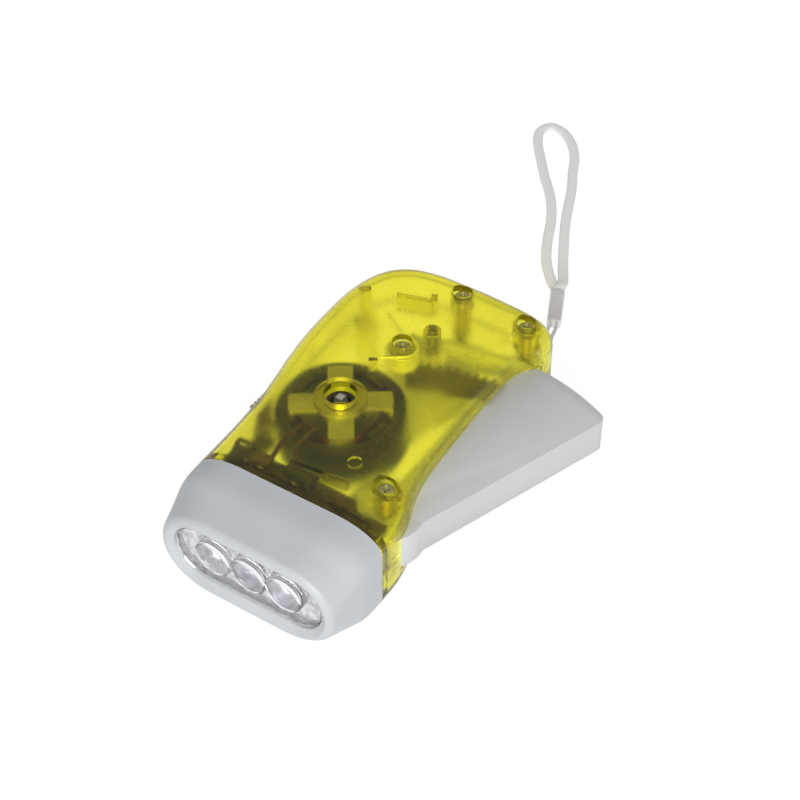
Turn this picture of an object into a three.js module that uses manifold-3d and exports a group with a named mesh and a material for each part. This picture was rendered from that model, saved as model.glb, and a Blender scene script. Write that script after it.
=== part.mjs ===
// Squeeze dynamo flashlight: three LEDs, a hand lever with a toothed sector, a two-stage gear train
// and a claw-pole dynamo inside a clear two-shell housing, with a wrist strap.
// Millimetres, +Z up. The flashlight lies on its broad side: head toward -Y, lever toward +X.
import * as THREE from 'three';
import { mergeVertices } from 'three/addons/utils/BufferGeometryUtils.js';
import Module from 'manifold-3d';

const wasm = await Module();
wasm.setup();

// housing
const bodyLength = 105.6;
const bodyThickness = 28;
const neckHalfWidth = 26.3;
const wall = 2;
const edgeRadius = 6.5;
const restFromFront = 52; // from the housing's zero, which lies faceForward behind the head's face
const partingGap = 0.3;
const fit = 0.3; // clearance between pieces that seat on each other
const overrun = 1; // how far a cutter runs past what it cuts
const columnSink = 1; // how deep a column or rib roots in its shell

// head
const capLength = 17; // from the housing's zero to the seam
const faceForward = 1.4;
const capWall = 1.8;
const faceInset = 1.4; // how far the front's sides lie within the neck's
const faceDrop = 0.4; // and its edges within the housing's thickness
const faceRound = 2.2;
const faceHalfWidth = neckHalfWidth - faceInset;
const faceHalfHeight = bodyThickness / 2 - faceDrop;
const ledPitch = 9.8;
const bezelSide = 3.8;
const bezelTop = 5.7;
const windowHalfWidth = faceHalfWidth - bezelSide;
const windowHalfHeight = faceHalfHeight - bezelTop;
const lensRecess = 1;
const lensFlange = 1.1;
const lensDomeHeight = 1.5;
const reflectorDepth = 5.6;
const ledRadius = 2.5;
const ledLength = 6.6;
const ledFlangeRadius = 2.9;
const boardThickness = 1.6;
const spigotLength = 3.6;
const spigotWall = 1.5;
const collarLength = 3;

// lever
const pivotInset = 8.5; // from the side of the neck
const pivotBehindSeam = 13.8;
const leverThickness = 9.8;
const leverDrop = 0.4; // how far its middle lies below the housing's
const leverWall = 1.6;
const slotClearance = 0.5;
const knuckleRadius = 9.6;
const leverFaceOffset = 8.3; // from the pivot to the line of the outer face
const leverFaceAngle = 20;
const leverRest = 2; // how far the inner edge lies past the pivot
const squeezeAngle = 16.5;
const tipGap = 0.8;
const pivotPostRadius = 2.8;

// gear train
const sectorModule = 0.8;
const tailRoom = 22.5; // from the first gear's axle to the tail
const pinionCount = 8;
const trainModule = 0.7;
const wheelCount = 36;
const smallCount = 12;
const sectorRim = 2.1;
const sectorHeight = 6.8;
const outerArcWidth = 2.6;
const hubAcrossShare = -0.32146; // the dynamo's axis, in neck half-widths from the middle
const wheelThickness = 2.2;
const wheelGap = 0.7;
const pinRadius = 1;
const sleeveRadius = 2;
const secondGearAngle = 250; // direction from the first gear axle to the second
const hubAngle = 268.5; // direction from the second gear axle to the dynamo
const spoolFromFirst = 9.28; // from the first gear axle to the spring's spool
const spoolAngle = 246.83; // and its direction

// dynamo
const rotorClearance = 1.5;
const rotorWall = 1;
const rotorFloor = 1.6;
const rotorGap = 2.9; // from the second wheel up to the flywheel
const magnetThickness = 1.5;
const airGap = 0.5;
const hubColumn = 1.9; // how far the hub's column hangs below the top wall
const clawThickness = 1.3;
const clawWidest = 6.4;
const clawWidthShare = 0.6; // of the radius inside the claws' tips, at most
const coreWidest = 3.4; // the core's radius, where the claws leave that much room
const coreShare = 0.26; // of the claws' radius, where they don't
const coreBore = 1.3;
const bobbinFlange = 0.8;
const hubRingRadius = 6.7;
const hubHoleRadius = 3.25;

// screws
const screwRadius = 1.3;
const screwHeadRadius = 2.2;
const screwHeadHeight = 1.6;
const screwRecess = 1.6;
const recessRadius = 2.6;
const tailColumnRadius = 2.6;
const tailColumnInset = 5.9; // the middle column, from the tail

// return spring
const wireRadius = 0.38;
const springRadius = 4;
const springPitch = 1.25;
const springTurns = 3; // as many of them as the room under the top wall holds
const spoolRadius = 2.9;
const stopPinRadius = 1;

// switch and strap
const switchLength = 8.6;
const switchDepth = 3.4;
const switchHeight = 3.6;
const knobTravel = 2.5;
const stringDiameter = 1;
const tapeWidth = 3;
const tapeThickness = 1.3;
const crimpLength = 13;
const crimpWidth = 4.2;
const crimpThickness = 3.1;

const deg = Math.PI / 180;
const paint = {
  clearYellow: { color: '#dcd634', roughness: 0.18, metalness: 0 },
  grey: { color: '#b9bcc0', roughness: 0.45, metalness: 0 },
  lightGrey: { color: '#c9ccd4', roughness: 0.45, metalness: 0 },
  clear: { color: '#e9eef2', roughness: 0.06, metalness: 0 },
  chrome: { color: '#d8dadd', roughness: 0.12, metalness: 1 },
  steel: { color: '#b4b4ae', roughness: 0.35, metalness: 1 },
  zinc: { color: '#b7ad84', roughness: 0.4, metalness: 0.9 },
  darkSteel: { color: '#4a4a48', roughness: 0.4, metalness: 0.9 },
  black: { color: '#1b1b1c', roughness: 0.5, metalness: 0.1 },
  nylon: { color: '#e9e6d6', roughness: 0.5, metalness: 0 },
  board: { color: '#2f6b3a', roughness: 0.5, metalness: 0 },
  copper: { color: '#9c4f22', roughness: 0.3, metalness: 0.9 },
  red: { color: '#c8402a', roughness: 0.5, metalness: 0 },
  tan: { color: '#d98a2b', roughness: 0.5, metalness: 0 },
  strap: { color: '#d5d2da', roughness: 0.8, metalness: 0 },
};

// solids
function toSolid(geometry) {
  const bare = geometry.clone();
  for (const name of Object.keys(bare.attributes)) if (name !== 'position') bare.deleteAttribute(name);
  const merged = mergeVertices(bare);
  const source = Array.from(merged.index.array);
  const triangles = [];
  for (let i = 0; i < source.length; i += 3) {
    const [a, b, c] = source.slice(i, i + 3);
    if (a !== b && b !== c && c !== a) triangles.push(a, b, c);
  }
  return new wasm.Manifold(new wasm.Mesh({
    numProp: 3,
    vertProperties: new Float32Array(merged.attributes.position.array),
    triVerts: new Uint32Array(triangles),
  }));
}

const slimmest = 0.004; // points nearer than this are one, and no facet is thinner
function distinct(points) {
  const cells = new Map();
  const merged = [];
  const indexOf = points.map((p) => {
    const key = p.map((v) => Math.round(v / slimmest / 4));
    for (let n = 0; n < 27; n++) {
      const near = [key[0] + (n % 3) - 1, key[1] + (Math.floor(n / 3) % 3) - 1, key[2] + Math.floor(n / 9) - 1];
      for (const i of cells.get(near.join()) ?? []) {
        if (Math.hypot(p[0] - merged[i][0], p[1] - merged[i][1], p[2] - merged[i][2]) < slimmest) return i;
      }
    }
    merged.push(p);
    cells.set(key.join(), [...(cells.get(key.join()) ?? []), merged.length - 1]);
    return merged.length - 1;
  });
  return { merged, indexOf };
}

// merges points that lie together, then turns the long edge of each needle facet across its neighbour
function tidyFacets(points, triangles) {
  const { merged, indexOf } = distinct(points);
  const facets = triangles.map((t) => t.map((i) => indexOf[i]))
    .filter(([a, b, c]) => a !== b && b !== c && c !== a);
  const at = (i) => new THREE.Vector3(...merged[i]);
  const height = (a, b, c) => {
    const base = at(b).sub(at(a));
    return base.clone().cross(at(c).sub(at(a))).length() / base.length();
  };
  for (let pass = 0; pass < 8; pass++) {
    const owner = new Map();
    facets.forEach((t, n) => t.forEach((v, k) => owner.set(`${v},${t[(k + 1) % 3]}`, n)));
    const touched = new Set();
    let turned = 0;
    facets.forEach((t, n) => {
      if (touched.has(n)) return;
      const lengths = t.map((v, k) => at(v).distanceTo(at(t[(k + 1) % 3])));
      const k = lengths.indexOf(Math.max(...lengths));
      const [a, b, c] = [t[k], t[(k + 1) % 3], t[(k + 2) % 3]];
      if (height(a, b, c) > slimmest) return;
      const other = owner.get(`${b},${a}`);
      if (other === undefined || touched.has(other)) return;
      const d = facets[other].find((v) => v !== a && v !== b);
      if (d === c || owner.has(`${c},${d}`) || owner.has(`${d},${c}`)) return;
      facets[n] = [a, d, c];
      facets[other] = [d, b, c];
      touched.add(n).add(other);
      turned += 1;
    });
    if (!turned) break;
  }
  return { merged, facets };
}

function toGeometry(solid) {
  const mesh = solid.getMesh();
  const points = [];
  for (let i = 0; i < mesh.vertProperties.length; i += 3) {
    points.push(Array.from(mesh.vertProperties.slice(i, i + 3)));
  }
  const triangles = [];
  for (let i = 0; i < mesh.triVerts.length; i += 3) triangles.push(Array.from(mesh.triVerts.slice(i, i + 3)));
  const { merged, facets } = tidyFacets(points, triangles);
  const geometry = new THREE.BufferGeometry();
  geometry.setAttribute('position', new THREE.Float32BufferAttribute(merged.flat(), 3));
  geometry.setIndex(facets.flat());
  geometry.computeVertexNormals();
  return geometry;
}

const join = (first, ...others) => others.reduce((sum, solid) => sum.add(solid), first);
const cut = (first, ...others) => others.reduce((sum, solid) => sum.subtract(solid), first);

// a prism that stands on z = low
function prism(points, low, high, holes = []) {
  const shape = new THREE.Shape(points.map(([x, y]) => new THREE.Vector2(x, y)));
  for (const hole of holes) shape.holes.push(new THREE.Path(hole.map(([x, y]) => new THREE.Vector2(x, y))));
  const geometry = new THREE.ExtrudeGeometry(shape, { depth: high - low, bevelEnabled: false });
  return toSolid(geometry.translate(0, 0, low));
}

function ring(radius, count, [x, y] = [0, 0], turn = 0) {
  const points = [];
  for (let i = 0; i < count; i++) {
    const angle = turn + (2 * Math.PI * i) / count;
    points.push([x + radius * Math.cos(angle), y + radius * Math.sin(angle)]);
  }
  return points;
}

const disc = (centre, radius, low, high, count = 24) => prism(ring(radius, count, centre), low, high);

const tube = (centre, outer, inner, low, high, count = 24) =>
  prism(ring(outer, count, centre), low, high, [ring(inner, count, centre)]);

const block = ([x0, y0, z0], [x1, y1, z1]) => prism([[x0, y0], [x1, y0], [x1, y1], [x0, y1]], z0, z1);

// a turned piece on an upright axis through centre
function turned(profile, [x, y] = [0, 0], count = 24) {
  const lathe = new THREE.LatheGeometry(profile.map(([r, z]) => new THREE.Vector2(r, z)), count);
  return toSolid(lathe.rotateX(Math.PI / 2).translate(x, y, 0));
}

// rings of equal point count joined into one closed skin; each ring is a list of [x, y, z]
function skin(rings) {
  const count = rings[0].length;
  const positions = rings.flat(2);
  const index = [];
  for (let k = 0; k + 1 < rings.length; k++) {
    for (let i = 0; i < count; i++) {
      const j = (i + 1) % count;
      const a = k * count + i;
      const b = k * count + j;
      index.push(a, b, b + count, a, b + count, a + count);
    }
  }
  for (let i = 1; i + 1 < count; i++) index.push(0, i + 1, i);
  const last = (rings.length - 1) * count;
  for (let i = 1; i + 1 < count; i++) index.push(last, last + i, last + i + 1);
  const geometry = new THREE.BufferGeometry();
  geometry.setAttribute('position', new THREE.Float32BufferAttribute(positions, 3));
  geometry.setIndex(index);
  return geometry;
}

// closed skin between level rings, with each end closed by a fan about a point that sees the whole ring
function levels(rings, [x, y]) {
  const count = rings[0].length;
  const index = [];
  for (let k = 0; k + 1 < rings.length; k++) {
    for (let i = 0; i < count; i++) {
      const j = (i + 1) % count;
      const a = k * count + i;
      const b = k * count + j;
      index.push(a, b, b + count, a, b + count, a + count);
    }
  }
  const last = (rings.length - 1) * count;
  const foot = rings.length * count;
  for (let i = 0; i < count; i++) {
    const j = (i + 1) % count;
    index.push(foot, j, i, foot + 1, last + i, last + j);
  }
  const positions = [...rings.flat(2), x, y, rings[0][0][2], x, y, rings.at(-1)[0][2]];
  const geometry = new THREE.BufferGeometry();
  geometry.setAttribute('position', new THREE.Float32BufferAttribute(positions, 3));
  geometry.setIndex(index);
  return toSolid(geometry);
}

// housing plan
// shares of the neck half-width and of the body length, round the outline, counter-clockwise
const planShares = [
  [0.995, 0.22], [0.95, 0.28], [0.85, 0.345], [0.785, 0.42], [0.755, 0.53], [0.735, 0.68],
  [0.737, 0.79], [0.785, 0.845], [0.875, 0.876], [0.935, 0.903], [0.925, 0.937], [0.835, 0.963], [0.65, 0.982],
  [0.38, 0.993], [0.08, 0.999], [-0.23, 1], [-0.52, 0.996], [-0.78, 0.979], [-0.98, 0.944], [-1.11, 0.89],
  [-1.18, 0.815], [-1.19, 0.72], [-1.172, 0.625], [-1.127, 0.54], [-1.075, 0.47], [-1.03, 0.4], [-1.007, 0.29],
];
const planCentreShares = [0.19, 0.71];
const planSteps = 64;
const seam = capLength + partingGap;
const plan = (() => {
  const inner = planShares.map(([x, y]) => new THREE.Vector3(x * neckHalfWidth, y * bodyLength, 0));
  const front = (side) => new THREE.Vector3(side * neckHalfWidth, seam, 0);
  const points = [front(1), ...inner, front(-1)];
  const curve = new THREE.CatmullRomCurve3(points, false, 'centripetal');
  return curve.getSpacedPoints(planSteps).map((p) => [p.x, p.y]);
})();

// outward directions, and the radius of each convex bend, which limits how far its edge can be rounded
const planNormals = plan.map((_, i) => {
  if (i === 0 || i === plan.length - 1) return [i ? -1 : 1, 0];
  const before = plan[(i + plan.length - 1) % plan.length];
  const after = plan[(i + 1) % plan.length];
  const [dx, dy] = [after[0] - before[0], after[1] - before[1]];
  const length = Math.hypot(dx, dy);
  return [dy / length, -dx / length];
});
const bendRoom = (() => {
  const reach = 3;
  const room = plan.map((p, i) => {
    if (i < reach || i >= plan.length - reach) return bodyLength;
    const a = plan[(i + plan.length - reach) % plan.length];
    const b = plan[(i + reach) % plan.length];
    const [ux, uy] = [p[0] - a[0], p[1] - a[1]];
    const [vx, vy] = [b[0] - p[0], b[1] - p[1]];
    const turn = Math.atan2(ux * vy - uy * vx, ux * vx + uy * vy);
    const step = (Math.hypot(ux, uy) + Math.hypot(vx, vy)) / 2;
    return turn > 0 ? Math.min(step / turn, bodyLength) : bodyLength;
  });
  return room.map((_, i) => {
    let least = bodyLength;
    for (let k = -reach; k <= reach; k++) least = Math.min(least, room[(i + k + plan.length) % plan.length]);
    return least;
  });
})();
const roundShares = (() => {
  let shares = bendRoom.map((room) => Math.min(1, (0.6 * room) / edgeRadius));
  for (let pass = 0; pass < 3; pass++) {
    shares = shares.map((s, i) => (shares.at(i - 1) + s + shares[(i + 1) % shares.length]) / 3);
  }
  return shares;
})();

const planPlace = ([x, y]) => [x * neckHalfWidth, y * bodyLength];

function planRing(inset, z, forward) {
  return plan.map(([x, y], i) => {
    const d = inset * roundShares[i];
    const front = i === 0 || i === plan.length - 1 ? forward : 0;
    return [x - planNormals[i][0] * d, y - planNormals[i][1] * d - front, z];
  });
}

// the housing's outside, or with a wall's inset its inside, with quarter-round edges top and bottom
function planSolid(inset, steps, forward) {
  const radius = edgeRadius - inset;
  const rings = [];
  for (let i = 0; i <= steps; i++) {
    const angle = (Math.PI / 2) * (i / steps);
    rings.push(planRing(
      inset + radius * (1 - Math.sin(angle)), inset + radius * (1 - Math.cos(angle)), forward,
    ));
  }
  for (let i = 0; i <= steps; i++) {
    const angle = (Math.PI / 2) * (1 - i / steps);
    rings.push(planRing(
      inset + radius * (1 - Math.sin(angle)), bodyThickness - inset - radius * (1 - Math.cos(angle)), forward,
    ));
  }
  return levels(rings, planPlace(planCentreShares));
}

// least and greatest x of the plan at a height y
function planSide(y, side) {
  let best = 0;
  for (let i = 0; i < plan.length; i++) {
    const [x0, y0] = plan[i];
    const [x1, y1] = plan[(i + 1) % plan.length];
    if ((y0 - y) * (y1 - y) > 0 || y0 === y1) continue;
    const x = x0 + ((x1 - x0) * (y - y0)) / (y1 - y0);
    if (side * x > side * best) best = x;
  }
  return best;
}

// places in plan
const middle = bodyThickness / 2;
const pivot = [neckHalfWidth - pivotInset, capLength + pivotBehindSeam];
const fromPivot = (radius, angle) =>
  [pivot[0] - radius * Math.sin(angle * deg), pivot[1] + radius * Math.cos(angle * deg)];
const polar = ([x, y], radius, angle) =>
  [x + radius * Math.cos(angle * deg), y + radius * Math.sin(angle * deg)];

const pinionRadius = (sectorModule * pinionCount) / 2;
const wheelRadius = (trainModule * wheelCount) / 2;
const smallRadius = (trainModule * smallCount) / 2;
// the train leads from the dynamo's axis back to the sector; pinionAngle runs from +Y toward -X
const trainReach = wheelRadius + smallRadius;
const toFirst = polar(polar([hubAcrossShare * neckHalfWidth, 0], -trainReach, hubAngle), -trainReach, secondGearAngle);
const firstReach = Math.hypot(pivot[0] - toFirst[0], bodyLength - tailRoom - pivot[1]);
const sectorCount = Math.round((2 * (firstReach - pinionRadius)) / sectorModule); // on a full circle
const sectorRadius = (sectorModule * sectorCount) / 2;
const pinionAngle = Math.asin((pivot[0] - toFirst[0]) / (sectorRadius + pinionRadius)) / deg;
const firstCentre = fromPivot(sectorRadius + pinionRadius, pinionAngle);
const secondCentre = polar(firstCentre, trainReach, secondGearAngle);
const hub = polar(secondCentre, trainReach, hubAngle);

const leverLow = middle - leverDrop - leverThickness / 2;
const leverHigh = middle - leverDrop + leverThickness / 2;
const slotLow = leverLow - slotClearance;
const slotHigh = leverHigh + slotClearance;
const pinionReach = sectorRadius + 2 * pinionRadius + sectorModule;
const outerArcInner = pinionReach + fit;
const outerArcOuter = outerArcInner + outerArcWidth;
const leverReach = outerArcOuter;

// screw columns at the tail, from the tail wall
const tailRightShares = [0.635, 0.93];
const tailRight = [ // clear of the lever's reach
  tailRightShares[0] * neckHalfWidth,
  Math.max(tailRightShares[1] * bodyLength, pivot[1] + leverReach + tailColumnRadius + fit),
];
const tailMiddleShare = -0.13;
const dowelShares = [-0.985, 0.83];
const tailMiddle = [tailMiddleShare * neckHalfWidth, bodyLength - tailColumnInset];
const spoolPlace = polar(firstCentre, spoolFromFirst, spoolAngle);
const dowelPlace = planPlace(dowelShares);

// levels of the gear train
const firstLow = wall + wheelGap + fit;
const firstHigh = firstLow + wheelThickness;
const secondLow = firstHigh + wheelGap;
const secondHigh = secondLow + wheelThickness;
const sectorLow = middle - sectorHeight / 2;
const sectorHigh = middle + sectorHeight / 2;

// slide switch behind the housing's side
const switchCentreShare = 0.317;
const knobShare = 0.388;
const switchY = switchCentreShare * bodyLength;
const knobRest = knobShare * bodyLength;
const switchWallX = planSide(switchY, -1);
const knobWallX = planSide(knobRest, -1);
const carrierX = switchWallX + wall + fit;
const carrierThickness = 0.8;
const switchFaceX = carrierX + carrierThickness + fit;
const knobLength = 4.2;
const knobHeight = 2.6;
const knobProud = 1.4;

// levels of the dynamo
const topInside = bodyThickness - wall;
const rotorLift = secondHigh + rotorGap;
const rotorRadius = Math.min( // the side wall, the switch and its knob's carrier each leave this much room
  hub[0] - planSide(hub[1], -1) - wall - rotorClearance,
  Math.hypot(hub[0] - switchFaceX - switchDepth, hub[1] - switchY - switchLength / 2) - fit,
  Math.hypot(hub[0] - carrierX - carrierThickness, hub[1] - knobRest - knobLength / 2) - fit,
);
const upperClawHigh = topInside - hubColumn;
const rotorHigh = upperClawHigh - 2 * clawThickness + airGap;
const magnetOuter = rotorRadius - rotorWall - fit;
const magnetInner = magnetOuter - magnetThickness;
const clawRadius = magnetInner - airGap;
const coreRadius = Math.min(coreWidest, coreShare * clawRadius);
const clawWidth = Math.min(clawWidest, clawWidthShare * (clawRadius - clawThickness));
const magnetLow = rotorLift + rotorFloor + fit;
const lowerClawLow = magnetLow + airGap;
const bobbinLow = lowerClawLow + clawThickness + fit;
const bobbinHigh = upperClawHigh - clawThickness - fit;
const bobbinRadius = clawRadius - clawThickness - 4 * fit;

// scene
const flashlight = new THREE.Group();
flashlight.position.set(0, -restFromFront, 0);

function add(name, solid, look, parent = flashlight) {
  const geometry = solid.isBufferGeometry ? solid : toGeometry(solid);
  const mesh = new THREE.Mesh(geometry, new THREE.MeshStandardMaterial(look));
  mesh.name = name;
  parent.add(mesh);
  return mesh;
}

// shells
const outside = planSolid(0, 3, 0);
const hollow = cut(outside, planSolid(wall, 2, overrun));
const wide = 2 * bodyLength;
const above = block([-wide, -wide, middle + partingGap / 2], [wide, wide, wide]);
const below = block([-wide, -wide, -wide], [wide, wide, middle - partingGap / 2]);

// a rectangle with round corners in the XZ plane, as [x, z] about the body's middle
function roundedRing(halfWidth, halfHeight, radius, y, arcSteps = 5) {
  const points = [];
  for (let corner = 0; corner < 4; corner++) {
    const sx = corner === 0 || corner === 3 ? 1 : -1;
    const sz = corner < 2 ? 1 : -1;
    for (let i = 0; i <= arcSteps; i++) {
      const angle = (Math.PI / 2) * (corner + i / arcSteps);
      points.push([
        sx * (halfWidth - radius) + radius * Math.cos(angle), y,
        middle + sz * (halfHeight - radius) + radius * Math.sin(angle),
      ]);
    }
  }
  return points.reverse();
}
const tunnel = (halfWidth, halfHeight, radius, y0, y1) =>
  toSolid(skin([roundedRing(halfWidth, halfHeight, radius, y0), roundedRing(halfWidth, halfHeight, radius, y1)]));

const spigotInset = capWall + fit;
const spigotRing = (inset, y0, y1) =>
  tunnel(neckHalfWidth - inset, bodyThickness / 2 - inset, edgeRadius - inset, y0, y1);
const spigot = cut(
  join(
    spigotRing(spigotInset, seam - spigotLength, seam + overrun),
    spigotRing(wall / 2, seam + fit, seam + collarLength),
  ),
  spigotRing(spigotInset + spigotWall, seam - spigotLength - overrun, seam + collarLength + overrun),
);

// the slot that the lever swings through: from before the knuckle to just past the lever's tip
const slotFront = pivot[1] - knuckleRadius - fit;
const slotEnd = leverReach + tipGap;
const slotPoints = [[pivot[0] - knuckleRadius / 4, slotFront], [wide, slotFront]];
for (let i = 0; i <= 8; i++) slotPoints.push(fromPivot(slotEnd, -60 + i * 7.4));
slotPoints.push([pivot[0] - knuckleRadius / 4, pivot[1] + slotEnd * 0.9]);
const slot = prism(slotPoints, slotLow, slotHigh);

const column = (centre, radius, low, high, count = 16) => disc(centre, radius, low, high, count);
const topRoot = topInside + columnSink;
const bottomRoot = wall - columnSink;
const headTop = bodyThickness - screwRecess;
const upperFoot = middle + partingGap / 2;
const lowerHead = middle - partingGap / 2;
const spoolHigh = headTop - screwHeadHeight - wall / 2 - fit;

const screwHoles = (centre) => join(
  disc(centre, recessRadius, headTop, bodyThickness + overrun),
  disc(centre, recessRadius, headTop - screwHeadHeight - fit, headTop + overrun),
);
const shaftHole = (centre, low) => disc(centre, screwRadius + fit, low, bodyThickness, 16);

const axleBossRadius = 2.3;
const pinHoleRadius = pinRadius + fit;
const firstPinTop = topInside - wall;
const firstBossLow = sectorHigh + wheelGap;

const ribThickness = 1.2;
const ribDepth = 3.8;
const neckRibDepth = 3;
function rib([x0, y0], [x1, y1], low, high, half = ribThickness / 2) {
  const length = Math.hypot(x1 - x0, y1 - y0);
  const [nx, ny] = [((y0 - y1) * half) / length, ((x1 - x0) * half) / length];
  return prism([[x0 + nx, y0 + ny], [x0 - nx, y0 - ny], [x1 - nx, y1 - ny], [x1 + nx, y1 + ny]], low, high);
}
const cornerRibShares = [[-0.67, 0.853], [-0.315, 0.88], [-0.355, 0.905]];
const cornerRib = cornerRibShares.map(planPlace);
// behind the neck: a rib that keeps the circuit board down, and a short peg
const neckRibShares = [[-0.22, 0.243], [0.357, 0.26]];
const neckRib = neckRibShares.map(planPlace);
const pegShares = [0.27, 0.32];
const pegPlace = planPlace(pegShares);
const boardPlay = 1.7; // from the rib down to the circuit board

// return spring: the moving leg lies behind the lever's stop pin, the fixed leg on a rib of the upper shell
const endBarStart = pinionAngle + (pinionRadius + sectorModule + fit) / (sectorRadius + pinionRadius) / deg;
const endBarWidth = 2.2; // degrees
const stopPinPlace = fromPivot(
  (sectorRadius + outerArcOuter) / 2, endBarStart + endBarWidth / 2,
);
const spoolLow = sectorHigh + stopPinRadius + 4 * wireRadius;
const springLow = spoolLow + 2 * wireRadius;
const springRoom = topInside - 4 * wireRadius - springLow;
const springCurls = Math.max(1, Math.min(springTurns, Math.floor(springRoom / springPitch)));
const springHigh = springLow + springPitch * springCurls;
const movingLegLength = 4.4 * springRadius;
const fixedLegLength = 1.6 * springRadius;

const knobSlot = block(
  [knobWallX - wall, knobRest - knobLength / 2 - knobTravel - fit, middle - knobHeight / 2 - fit],
  [carrierX, knobRest + knobLength / 2 + fit, middle + knobHeight / 2 + fit],
);

const eyeletHeight = 3.4;
const eyeletHalf = 2.2;
const eyeletAngle = 68;
const eyelet = rib(
  tailRight, polar(tailRight, 3 * edgeRadius, eyeletAngle), middle - eyeletHeight / 2, middle + eyeletHeight / 2,
  eyeletHalf,
);

let upper = join(cut(hollow, slot, eyelet), cut(column(pivot, recessRadius + overrun, slotHigh + fit, topRoot)));
upper = join(
  upper,
  column(tailMiddle, tailColumnRadius, upperFoot, topRoot),
  column(tailRight, tailColumnRadius, upperFoot, topRoot),
  column(tailRight, recessRadius + overrun, slotHigh + fit, topRoot),
  column(tailMiddle, recessRadius + overrun / 2, topInside - 2 * wall, topRoot),
  column(spoolPlace, recessRadius + overrun / 2, spoolHigh + fit, topRoot),
  column(firstCentre, axleBossRadius, firstBossLow, topRoot),
  column(hub, hubRingRadius, upperClawHigh + fit, topRoot, 32),
  column(dowelPlace, stopPinRadius + overrun / 2, upperFoot + fit, topRoot),
  rib(cornerRib[0], cornerRib[1], topInside - ribDepth, topRoot),
  rib(cornerRib[1], cornerRib[2], topInside - ribDepth, topRoot),
  rib(neckRib[0], neckRib[1], topInside - neckRibDepth, topRoot),
  column(pegPlace, spoolRadius / 2 + fit, topInside - ribDepth, topRoot, 12),
);
const fixedLegAngle = 215;
const fixedLegStop = [
  polar(polar(spoolPlace, fixedLegLength, fixedLegAngle), springRadius + wireRadius + fit + ribThickness / 2,
    fixedLegAngle + 90),
  polar(polar(spoolPlace, fixedLegLength * 1.35, fixedLegAngle), springRadius + wireRadius + fit + ribThickness / 2,
    fixedLegAngle + 90),
];
upper = join(upper, rib(fixedLegStop[0], fixedLegStop[1], Math.max(springHigh - ribDepth / 2, rotorHigh + fit), topRoot));
upper = upper.intersect(outside).intersect(above);
upper = join(upper, spigot.intersect(above));
for (const place of [pivot, tailMiddle, tailRight, spoolPlace]) {
  upper = cut(upper, screwHoles(place), shaftHole(place, upperFoot - overrun));
}
upper = cut(
  upper,
  disc(hub, hubHoleRadius, upperClawHigh - overrun, bodyThickness + overrun, 28),
  disc(firstCentre, pinHoleRadius, firstBossLow - overrun, firstPinTop + fit, 14),
  knobSlot,
);
add('upper_shell', upper, paint.clearYellow);

const pilotRadius = screwRadius + fit;
let lower = join(
  cut(hollow, slot, eyelet),
  column(pivot, pivotPostRadius + overrun, bottomRoot, leverLow - fit),
  column(tailMiddle, tailColumnRadius, bottomRoot, lowerHead),
  column(tailRight, tailColumnRadius, bottomRoot, lowerHead),
  column(firstCentre, axleBossRadius, bottomRoot, firstLow - fit),
  column(secondCentre, axleBossRadius, bottomRoot, firstLow - fit),
  column(hub, axleBossRadius, bottomRoot, secondLow - fit),
  column(dowelPlace, stopPinRadius + overrun + wall / 2, bottomRoot, lowerHead),
);
lower = lower.intersect(outside).intersect(below);
lower = join(lower, spigot.intersect(below), column(pivot, pivotPostRadius, bottomRoot, slotHigh));
const pinLow = bottomRoot;
lower = cut(
  lower,
  disc(pivot, pilotRadius, pinLow + wall, bodyThickness, 16),
  disc(tailMiddle, pilotRadius, pinLow + wall, bodyThickness, 16),
  disc(tailRight, pilotRadius, pinLow + wall, bodyThickness, 16),
  disc(dowelPlace, stopPinRadius + overrun / 2 + fit, wall, bodyThickness, 16),
  disc(firstCentre, pinHoleRadius, pinLow, bodyThickness, 14),
  disc(secondCentre, pinHoleRadius, pinLow, bodyThickness, 14),
  disc(hub, pinHoleRadius, pinLow, bodyThickness, 14),
  knobSlot,
);
add('lower_shell', lower, paint.clearYellow);

// head cap, lens, reflector, LEDs
const capLevelShares = [ // along the cap, then how much of the flare from face to seam is reached
  [0.2, 0.52], [0.45, 0.82], [0.76, 1], [1, 1],
];
const roundSteps = [0, 0.15, 0.5, 1]; // through the face's rounded edge
const mix = (a, b, share) => a + (b - a) * share;
function capSolid(inset, tail) {
  const length = capLength + faceForward;
  const levelsAt = [
    ...roundSteps.map((s) => [s * faceRound, s * faceRound / length, faceRound * (1 - Math.sqrt(1 - (1 - s) ** 2))]),
    ...capLevelShares.map(([along, flare]) => [along * length, flare, 0]),
  ];
  const rings = levelsAt.map(([y, flare, drop]) => {
    const halfHeight = mix(faceHalfHeight, bodyThickness / 2, flare) - inset - drop;
    const radius = mix(faceHalfHeight, edgeRadius, flare) - inset - drop;
    return roundedRing(mix(faceHalfWidth, neckHalfWidth, flare) - inset - drop, halfHeight, radius, y);
  });
  if (tail) rings.push(rings.at(-1).map(([x, y, z]) => [x, y + tail, z]));
  return toSolid(skin(rings));
}
const flangeHalfWidth = windowHalfWidth + lensFlange;
const flangeHalfHeight = windowHalfHeight + lensFlange;
const stadium = (halfWidth, halfHeight, y0, y1) => tunnel(halfWidth, halfHeight, halfHeight - fit / 3, y0, y1);
const headCap = cut(
  capSolid(0, 0),
  capSolid(capWall, overrun).intersect(block([-wide, capWall, -wide], [wide, wide, wide])),
  stadium(windowHalfWidth, windowHalfHeight, -overrun, capLength / 2),
);
const headGroup = new THREE.Group();
headGroup.position.y = -faceForward;
flashlight.add(headGroup);
add('head_cap', headCap, paint.grey, headGroup);

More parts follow.
